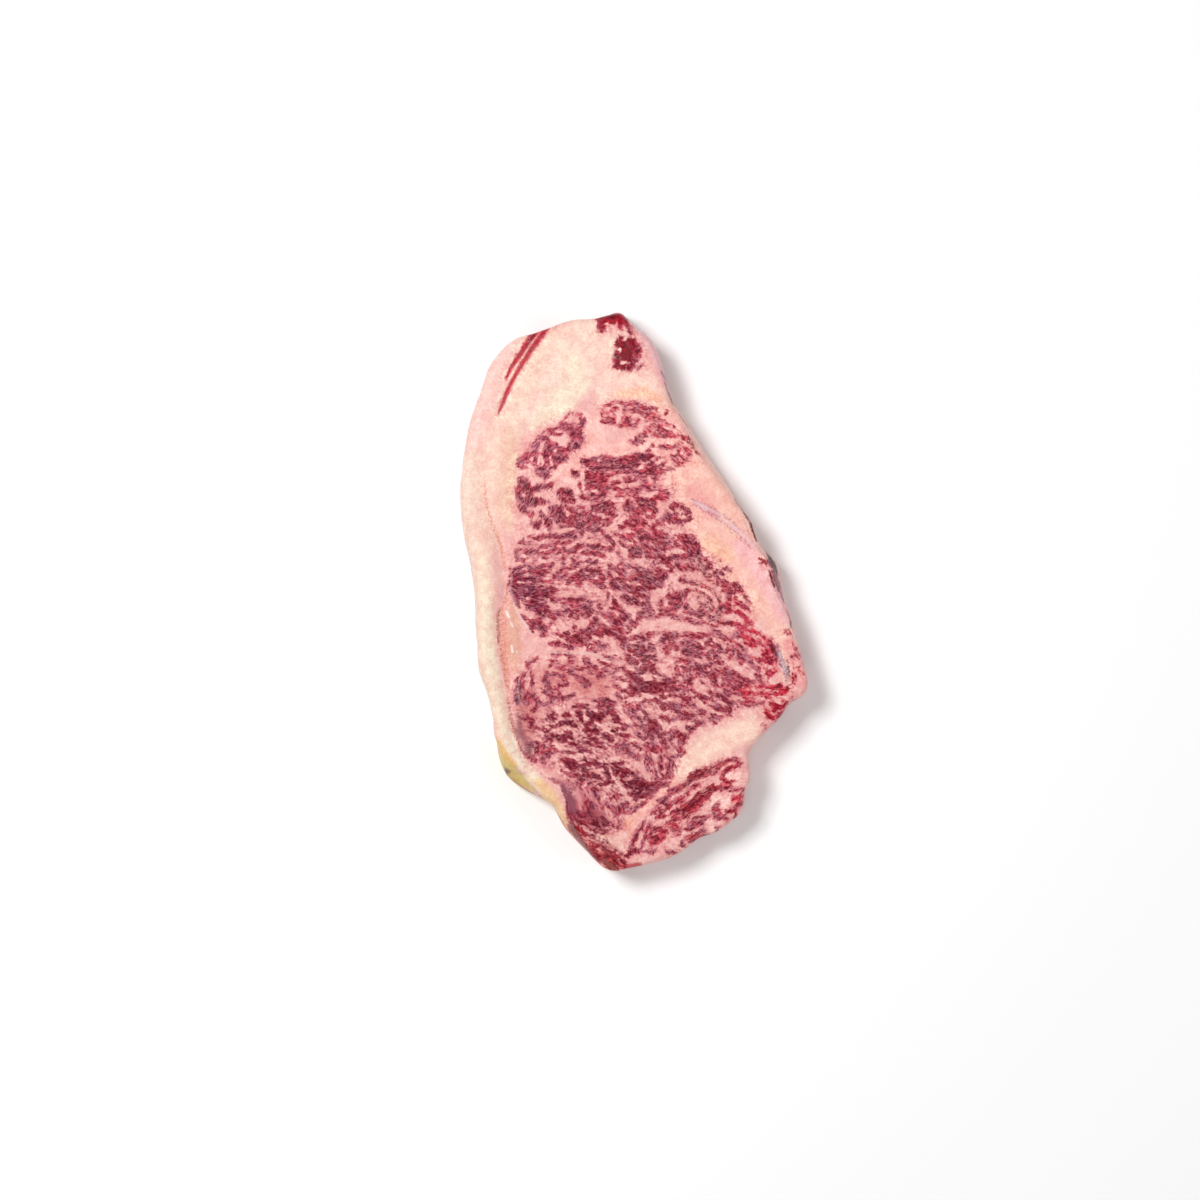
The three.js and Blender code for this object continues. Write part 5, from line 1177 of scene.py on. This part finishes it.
def evenNet(ring):  # points in rows, as the corners of even triangles, clear of the ring
    spacing = body["footSpacing"] * mm
    low, high = ring.min(axis=0), ring.max(axis=0)
    rows = []
    for n, y in enumerate(np.arange(low[1], high[1], spacing * math.sqrt(0.75))):
        across = np.arange(low[0] + 0.5 * spacing * (n % 2), high[0], spacing)
        rows.append(np.column_stack([across, np.full(len(across), y)]))
    points = np.vstack(rows)
    points = points[insideRing(points, ring)]
    apart = points[:, None] - ring[None, ::2]
    nearest = np.min(np.hypot(apart[:, :, 0], apart[:, :, 1]), axis=1)
    return points[nearest > body["footGap"] * spacing]


def closeUnderside(shell):  # an even net of triangles across the open foot
    work = bmesh.new()
    work.from_mesh(shell.data)
    rim = openRim(work)
    ring = np.array([vert.co[:2] for vert in rim])
    corners = [Vector(p) for p in np.vstack([ring, evenNet(ring)])]
    edges = [(i, (i + 1) % len(rim)) for i in range(len(rim))]
    insideOnly = 1
    net = delaunay_2d_cdt(corners, edges, [], insideOnly, body["netPrecision"] * mm)
    placed, _, faces, origins, _, _ = net
    verts = []
    for place, origin in zip(placed, origins):
        onRim = origin and origin[0] < len(rim)
        verts.append(rim[origin[0]] if onRim else work.verts.new((*place, 0)))
    for face in faces:
        work.faces.new([verts[i] for i in reversed(face)])
    loose = [edge for edge in work.edges if len(edge.link_faces) != 2]
    print("open edges of the steak:", len(loose))
    work.to_mesh(shell.data)
    work.free()


def paintMesh(shell):
    mesh = shell.data
    places = np.empty(3 * len(mesh.vertices))
    mesh.vertices.foreach_get("co", places)
    x, y, z = places.reshape(-1, 3).T / mm
    sunk = np.clip((marbling["bendBelow"] - z) / marbling["bendBelow"], 0, 1)
    wave, depthWave = marbling["bendAcross"]
    bentX = x + marbling["bend"] * sunk * np.sin(y / wave + z / depthWave)
    wave, depthWave = marbling["bendAlong"]
    bentY = y + marbling["bend"] * sunk * np.sin(x / wave + z / depthWave)
    gloss = np.zeros(len(x))
    for stroke in glistening:
        gloss = np.maximum(gloss, softTouch(x, y, stroke))
    gloss *= np.clip((z - painting["glistenAbove"]) / painting["glistenFade"], 0, 1)
    filmAndPaintedLight = layFilmsAndPaintedLight(x, y)
    filmAndPaintedLight[:, 3] *= np.clip((z - painting["filmAbove"]) / painting["filmFade"], painting["filmLeast"], 1)
    coats = {
        "lean": ("FLOAT", "value", leanDepth(bentX, bentY)),
        "fibre": ("FLOAT_VECTOR", "vector", fibreDirections(x, y)),
        "glisten": ("FLOAT", "value", gloss),
        "fatTone": ("FLOAT_COLOR", "color", layPaint(bentX, bentY, fatPaint)),
        "leanTone": ("FLOAT_COLOR", "color", layPaint(bentX, bentY, leanPaint)),
        "filmAndPaintedLight": ("FLOAT_COLOR", "color", filmAndPaintedLight),
    }
    for name, (kind, field, values) in coats.items():
        coat = mesh.attributes.new(name, kind, "POINT")
        coat.data.foreach_set(field, np.ascontiguousarray(values, np.float32).ravel())


def roughen(shell):  # low relief of the cut face, in the mesh itself
    mesh = shell.data
    places = np.empty(3 * len(mesh.vertices), np.float32)
    normals = np.empty_like(places)
    lean = np.empty(len(mesh.vertices), np.float32)
    mesh.vertices.foreach_get("co", places)
    mesh.vertex_normals.foreach_get("vector", normals)
    mesh.attributes["lean"].data.foreach_get("value", lean)
    places, normals = places.reshape(-1, 3), normals.reshape(-1, 3)
    bumps = np.array([noise.noise(Vector(p)) for p in places / (body["unevenSize"] * mm)])
    rise = body["fatRise"] * np.clip(-lean, body["riseFrom"], body["riseTo"]) + body["unevenness"] * bumps
    rise[places[:, 2] < body["evenBelow"] * mm] = 0
    mesh.vertices.foreach_set("co", (places + normals * rise[:, None] * mm).ravel())
    mesh.update()


def node(tree, kind, inputs=None, **settings):
    made = tree.nodes.new(kind)
    for name, value in settings.items():
        setattr(made, name, value)
    for name, value in (inputs or {}).items():
        socket = made.inputs[name]
        if isinstance(value, bpy.types.NodeSocket):
            tree.links.new(value, socket)
        else:
            socket.default_value = value
    return made


def calculate(tree, operation, *values):
    return node(tree, "ShaderNodeMath", dict(enumerate(values)), operation=operation).outputs[0]


def combineVectors(tree, operation, first, second, output="Vector"):  # two vectors
    return node(tree, "ShaderNodeVectorMath", {0: first, 1: second}, operation=operation).outputs[output]


def scaled(tree, vector, factor):
    return node(tree, "ShaderNodeVectorMath", {0: vector, "Scale": factor}, operation="SCALE").outputs[0]


def blend(tree, share, first, second, way="MIX"):
    inputs = {0: share, 6: first, 7: second}
    return node(tree, "ShaderNodeMix", inputs, data_type="RGBA", blend_type=way).outputs[2]


def multiply(tree, share, first, second):
    return blend(tree, share, first, second, "MULTIPLY")


def step(tree, value, low, high):  # 0 below low, 1 above high
    inputs = {"Value": value, "From Min": low, "From Max": high}
    return node(tree, "ShaderNodeMapRange", inputs, interpolation_type="SMOOTHSTEP").outputs[0]


def twoTone(tree, value, tones):
    low, high, first, second = tones
    return blend(tree, step(tree, value, low, high), (*first, 1), (*second, 1))


def plainNoise(tree, place, size, detail=2.0, output="Fac"):
    inputs = {"Vector": place, "Scale": 1 / size, "Detail": detail}
    return node(tree, "ShaderNodeTexNoise", inputs).outputs[output]


def aboutZero(tree, value):  # from noise about 0.5
    return calculate(tree, "SUBTRACT", value, 0.5)


grain = {
    "turns": 6,  # directions in which noise is drawn out
    "turn": 30,  # degrees from one to the next
    "shift": (13.7, 5.1, 0),  # keeps their noises apart
    "detail": 0.8,
    "roughness": 0.5,
    "leastShare": 0.04,
    "sharpness": 3.0,  # how strongly the direction of the fibres wins
    "strength": 5.0,
}


def newGroup(name, inputs, outputs):
    group = bpy.data.node_groups.new(name, "ShaderNodeTree")
    for way, sockets in (("INPUT", inputs), ("OUTPUT", outputs)):
        for label, kind in sockets.items():
            group.interface.new_socket(name=label, in_out=way, socket_type=kind)
    return group, group.nodes.new("NodeGroupInput").outputs, group.nodes.new("NodeGroupOutput").inputs


def fibreGroup():  # noise drawn out along the fibres, about -1 to 1
    numbers = {label: "NodeSocketFloat" for label in ("Size", "Stretch", "Seed")}
    vectors = {label: "NodeSocketVector" for label in ("Place", "Fibre")}
    group, given, result = newGroup("fibreGrain", {**vectors, **numbers}, {"Grain": "NodeSocketFloat"})
    shorter = calculate(group, "DIVIDE", 1.0, given["Stretch"])
    shorter = node(group, "ShaderNodeCombineXYZ", {"X": shorter, "Y": 1.0, "Z": 1.0}).outputs[0]
    finer = calculate(group, "DIVIDE", 1.0, given["Size"])
    total = power = 0.0
    for turn in range(grain["turns"]):
        angle = math.radians(grain["turn"] * turn)
        turned = {"Vector": given["Place"], "Angle": -angle}
        place = node(group, "ShaderNodeVectorRotate", turned, rotation_type="Z_AXIS").outputs[0]
        place = combineVectors(group, "MULTIPLY", place, shorter)
        place = combineVectors(group, "ADD", place, [turn * distance for distance in grain["shift"]])
        inputs = {"Vector": scaled(group, place, finer), "W": given["Seed"], "Scale": 1.0,
                  "Detail": grain["detail"], "Roughness": grain["roughness"]}
        level = node(group, "ShaderNodeTexNoise", inputs, noise_dimensions="4D").outputs[0]
        along = (math.cos(2 * angle), math.sin(2 * angle), 0)
        facing = combineVectors(group, "DOT_PRODUCT", given["Fibre"], along, "Value")
        facing = calculate(group, "MAXIMUM", facing, grain["leastShare"])
        share = calculate(group, "POWER", facing, grain["sharpness"])
        total = calculate(group, "MULTIPLY_ADD", share, aboutZero(group, level), total)
        power = calculate(group, "MULTIPLY_ADD", share, share, power)
    even = calculate(group, "DIVIDE", total, calculate(group, "SQRT", power))
    group.links.new(calculate(group, "MULTIPLY", even, grain["strength"]), result[0])
    return group


meat = {
    # grain drawn out along the fibres: size in mm, stretch and seed
    "loose": (1.5, 2.8, 0.0),
    "fine": (0.8, 1.9, 3.3),
    "veins": (2.2, 3.0, 6.1),
    "hair": (0.55, 2.4, 9.4),
    # sizes of plain noise, in mm
    "specks": 0.95,
    "patches": 3.4,
    "crumbs": 0.9,
    "wrinkles": 5.0,
    "pits": 0.55,
    # how far each grain moves the edge of lean, in mm
    "looseShift": 0.46,
    "fineShift": 0.42,
    "speckShift": 1.3,
    # two tones that a colour is multiplied by: the first up to a value, the second from another on
    "blush": (0.34, 0.66, (1.09, 1.2, 1.17), (0.98, 0.88, 0.88)),
    "grit": (0.3, 0.7, (1.07, 1.16, 1.15), (0.93, 0.82, 0.81)),
    "stain": (-1.5, -0.3, (1.0, 1.06, 1.08), (0.99, 0.95, 0.98)),
    "cast": (0.46, 0.74, (1.12, 0.74, 0.76), (0.88, 0.98, 1.02)),
    "strands": (-0.55, 0.55, (0.58, 0.4, 0.48), (1.34, 1.95, 1.75)),
}
fatLook = {
    "amongLean": (-2.9, -2.0),  # depths between which fat comes to run through lean
    "mottle": 0.55,
    "moreMottle": 0.45,  # added where it runs through lean
    # wrinkles: thin darker lines of painted shade, as in fine creases of the fat
    "wrinkleWidth": 0.025,
    "wrinkleShare": 0.7,
    "wrinkleShade": (0.97, 0.86, 0.8, 1),
}
leanLook = {
    "bundles": (0.55, 0.9, 0.9),  # of fibres, to a mm
    "bundleTurn": 24,  # degrees
    "waver": (1.7, 2.6),  # size and reach, in mm
    "bundleCast": 0.2,
    "bundleDepth": 0.7,
    "rampStart": 0.3,  # the place on the ramp for the very edge of lean
    "rampScale": 0.3,  # and how far a mm of depth moves along it
    "ramp": {  # from the bright edge to deep wine red
        0.24: (1.5, 2.4, 2.1),
        0.4: (1.24, 1.5, 1.42),
        0.56: (1.04, 1.06, 1.06),
        0.72: (0.68, 0.52, 0.62),
        0.9: (0.37, 0.21, 0.3),
    },
    "veinWidth": (0.09, 0.02),
    "veinPatches": (0.48, 0.56),
    "veinShare": 0.55,
}
rimLook = {  # where fat meets lean, and the films with painted shade and highlights over both
    "redder": (1.4, 1.7, 1.6, 1),
    "redderShare": 0.55,
    "fatToEdge": (-0.7, -0.1),
    "edgeToLean": (-0.2, 0.25),
    "veilCrumbs": 1.1,
    "veil": (0.22, 0.95),
    "filmGrit": 0.8,
}
wetLook = {
    "swell": -0.12,  # lean lies lower than fat
    "swellAt": (-0.4, 0.4),
    "pitDepth": 0.10,
    "glistenDepth": 0.3,
    "fineDepth": 0.05,
    "bump": 0.5,
    "roughness": 0.21,
    "roughCrumbs": 0.3,
    "shine": 0.12,
}


def grainOf(tree, group, place, fibre, kind):
    size, stretch, seed = kind
    inputs = {"Place": place, "Fibre": fibre, "Size": size, "Stretch": stretch, "Seed": seed}
    return node(tree, "ShaderNodeGroup", inputs, node_tree=group).outputs[0]


def readMeat(tree):  # what the looks of fat, lean and films are worked out from
    place = scaled(tree, node(tree, "ShaderNodeTexCoord").outputs["Object"], 1 / mm)
    names = ("lean", "fibre", "glisten", "fatTone", "leanTone", "filmAndPaintedLight")
    coat = {name: node(tree, "ShaderNodeAttribute", attribute_name=name).outputs for name in names}
    fibre = coat["fibre"]["Vector"]
    grainy = node(tree, "ShaderNodeSeparateXYZ", {0: fibre}).outputs[2]
    group = fibreGroup()
    kinds = ("loose", "fine", "veins", "hair")
    read = {kind: grainOf(tree, group, place, fibre, meat[kind]) for kind in kinds}
    read["specks"] = aboutZero(tree, plainNoise(tree, place, meat["specks"], 1.0))
    depth = coat["lean"]["Fac"]
    for kind, shift in (("loose", "looseShift"), ("fine", "fineShift"), ("specks", "speckShift")):
        read[kind] = calculate(tree, "MULTIPLY", read[kind], grainy)
        depth = calculate(tree, "MULTIPLY_ADD", read[kind], meat[shift], depth)
    read["patches"] = plainNoise(tree, place, meat["patches"])
    read["crumbs"] = plainNoise(tree, place, meat["crumbs"])
    read["grit"] = twoTone(tree, read["crumbs"], meat["grit"])
    read.update(place=place, coat=coat, grainy=grainy, depth=depth)
    return read


def mottledFat(tree, read):  # more mottled where it runs through lean
    fat = read["coat"]["fatTone"]["Color"]
    among = step(tree, read["coat"]["lean"]["Fac"], *fatLook["amongLean"])
    share = calculate(tree, "MULTIPLY_ADD", among, fatLook["moreMottle"], fatLook["mottle"])
    fat = multiply(tree, share, fat, twoTone(tree, read["patches"], meat["blush"]))
    fat = multiply(tree, share, fat, read["grit"])
    # thin darker lines of painted shade for fine wrinkles in the fat
    wrinkles = aboutZero(tree, plainNoise(tree, read["place"], meat["wrinkles"], 3.0))
    wrinkles = step(tree, calculate(tree, "ABSOLUTE", wrinkles), fatLook["wrinkleWidth"], 0.0)
    wrinkles = calculate(tree, "MULTIPLY", wrinkles, fatLook["wrinkleShare"])
    fat = multiply(tree, wrinkles, fat, fatLook["wrinkleShade"])
    return multiply(tree, 1.0, fat, twoTone(tree, read["depth"], meat["stain"]))


def fibreBundles(tree, read):  # random numbers, one set to a bundle
    size, reach = leanLook["waver"]
    waver = scaled(tree, plainNoise(tree, read["place"], size, 1.0, "Color"), reach)
    cells = {"Vector": combineVectors(tree, "ADD", read["place"], waver), "Scale": leanLook["bundles"],
             "Rotation": (0, 0, math.radians(leanLook["bundleTurn"]))}
    cells = {"Vector": node(tree, "ShaderNodeMapping", cells).outputs[0], "Scale": 1.0}
    cells = node(tree, "ShaderNodeTexVoronoi", cells).outputs["Color"]
    return node(tree, "ShaderNodeSeparateXYZ", {0: cells}).outputs


def bundledLean(tree, read, fat):  # bright red at its edges to dark wine, with veins of fat
    bundle = fibreBundles(tree, read)
    cast = calculate(tree, "MULTIPLY_ADD", bundle[0], leanLook["bundleCast"], read["patches"])
    lean = multiply(tree, 1.0, read["coat"]["leanTone"]["Color"], twoTone(tree, cast, meat["cast"]))
    own = aboutZero(tree, bundle[1])
    depth = calculate(tree, "MULTIPLY_ADD", own, leanLook["bundleDepth"], read["depth"])
    depth = calculate(tree, "MULTIPLY_ADD", depth, leanLook["rampScale"], leanLook["rampStart"])
    tone = node(tree, "ShaderNodeValToRGB", {"Fac": depth})
    ramp = tone.color_ramp.elements
    for at, shade in leanLook["ramp"].items():
        ramp.new(at).color = (*shade, 1)
    ramp.remove(ramp[0])
    ramp.remove(ramp[-1])
    lean = multiply(tree, 1.0, lean, tone.outputs["Color"])
    lean = multiply(tree, read["grainy"], lean, twoTone(tree, read["hair"], meat["strands"]))
    veins = step(tree, calculate(tree, "ABSOLUTE", read["veins"]), *leanLook["veinWidth"])
    veins = calculate(tree, "MULTIPLY", veins, step(tree, read["patches"], *leanLook["veinPatches"]))
    veinShare = calculate(tree, "MULTIPLY", read["grainy"], leanLook["veinShare"])
    return blend(tree, calculate(tree, "MULTIPLY", veins, veinShare), lean, fat)


def meatColour(tree, read):  # fat, its redder edge, lean, and the films, painted shade and highlights over them
    fat = mottledFat(tree, read)
    redder = multiply(tree, 1.0, read["coat"]["leanTone"]["Color"], rimLook["redder"])
    edge = blend(tree, rimLook["redderShare"], fat, redder)
    colour = blend(tree, step(tree, read["depth"], *rimLook["fatToEdge"]), fat, edge)
    lean = bundledLean(tree, read, fat)
    colour = blend(tree, step(tree, read["depth"], *rimLook["edgeToLean"]), colour, lean)
    filmAndPaintedLight = read["coat"]["filmAndPaintedLight"]
    crumbs = aboutZero(tree, read["crumbs"])
    veil = calculate(tree, "MULTIPLY_ADD", crumbs, rimLook["veilCrumbs"], filmAndPaintedLight["Alpha"])
    filmAndPaintedLight = multiply(tree, rimLook["filmGrit"], filmAndPaintedLight["Color"], read["grit"])
    return blend(tree, step(tree, veil, *rimLook["veil"]), colour, filmAndPaintedLight)


def wetHeight(tree, read):
    swell = calculate(tree, "MULTIPLY", step(tree, read["depth"], *wetLook["swellAt"]), wetLook["swell"])
    pits = plainNoise(tree, read["place"], meat["pits"])
    glisten = read["coat"]["glisten"]["Fac"]
    pitDepth = calculate(tree, "MULTIPLY_ADD", glisten, wetLook["glistenDepth"], wetLook["pitDepth"])
    height = calculate(tree, "MULTIPLY_ADD", pits, pitDepth, swell)
    return calculate(tree, "MULTIPLY_ADD", read["fine"], wetLook["fineDepth"], height)


def meatMaterial():
    material = bpy.data.materials.new("raw_marbled_beef")
    material.use_nodes = True
    tree = material.node_tree
    shader = tree.nodes["Principled BSDF"].inputs
    read = readMeat(tree)
    tree.links.new(meatColour(tree, read), shader["Base Color"])
    inputs = {"Height": wetHeight(tree, read), "Strength": wetLook["bump"], "Distance": 1 * mm}
    tree.links.new(node(tree, "ShaderNodeBump", inputs).outputs[0], shader["Normal"])
    rough = calculate(tree, "MULTIPLY_ADD", read["crumbs"], wetLook["roughCrumbs"], wetLook["roughness"])
    tree.links.new(rough, shader["Roughness"])
    shader["Specular IOR Level"].default_value = wetLook["shine"]
    return material


print("shaping the steak")
steak = smoothShell(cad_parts["steak"])
closeUnderside(steak)
print("marbling the steak")
paintMesh(steak)
roughen(steak)
selectOnly(steak)
bpy.ops.object.shade_smooth()
steak.data.materials.clear()
steak.data.materials.append(meatMaterial())
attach(steak, "root")
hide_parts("steak")
print("steak triangles:", sum(len(face.vertices) - 2 for face in steak.data.polygons))

studio = {  # in mm where nothing else is said
    "viewCentre": (-13.6, -3.2),
    "topHeight": 22,
    "frameWidth": 480,
    "lens": 75,
    "sensor": 36,
    "farthest": 10,  # metres
    "floorSize": 6,  # metres
    "floorDrop": 0.2,
    "floorShade": 0.94,
    "floorRoughness": 0.9,
    "floorShine": 0.1,
    "daylight": 0.35,
}
lamps = {  # place and size in metres, and power
    "key": ((-0.58, 0.37, 1.12), 0.42, 13),
    "fillRight": ((1.3, -0.2, 0.9), 1.2, 6),
    "fillFront": ((-0.1, -1.4, 0.9), 1.2, 3.8),
}


def placeCamera():  # straight above the steak
    distance = studio["frameWidth"] * studio["lens"] / studio["sensor"]
    height = (studio["topHeight"] + distance) * mm
    camera = bpy.data.cameras.new("camera")
    camera.lens = studio["lens"]
    camera.sensor_width = studio["sensor"]
    camera.clip_end = studio["farthest"]
    holder = bpy.data.objects.new("camera", camera)
    holder.location = (studio["viewCentre"][0] * mm, studio["viewCentre"][1] * mm, height)
    bpy.context.scene.collection.objects.link(holder)
    bpy.context.scene.camera = holder


def softBox(name, place, size, power):  # a square lamp that faces the steak
    lamp = bpy.data.lights.new(name, "AREA")
    lamp.size = size
    lamp.energy = power
    holder = bpy.data.objects.new(name, lamp)
    holder.location = place
    holder.rotation_euler = (-Vector(place)).to_track_quat("-Z", "Y").to_euler()
    bpy.context.scene.collection.objects.link(holder)


def paperFloor():
    bpy.ops.object.select_all(action="DESELECT")
    bpy.ops.mesh.primitive_plane_add(size=studio["floorSize"], location=(0, 0, -studio["floorDrop"] * mm))
    floor = bpy.context.object
    floor.name = "floor"
    paper = bpy.data.materials.new("pale_floor")
    paper.use_nodes = True
    shader = paper.node_tree.nodes["Principled BSDF"].inputs
    shader["Base Color"].default_value = (*[studio["floorShade"]] * 3, 1)
    shader["Roughness"].default_value = studio["floorRoughness"]
    shader["Specular IOR Level"].default_value = studio["floorShine"]
    floor.data.materials.append(paper)


def lightStudio():
    world = bpy.data.worlds.new("studio")
    world.use_nodes = True
    sky = world.node_tree.nodes["Background"].inputs
    sky["Color"].default_value = (1, 1, 1, 1)
    sky["Strength"].default_value = studio["daylight"]
    bpy.context.scene.world = world
    for name, (place, size, power) in lamps.items():
        softBox(name, place, size, power)
    bpy.context.scene.view_settings.view_transform = "Standard"


print("setting the floor, light and camera")
paperFloor()
lightStudio()
placeCamera()
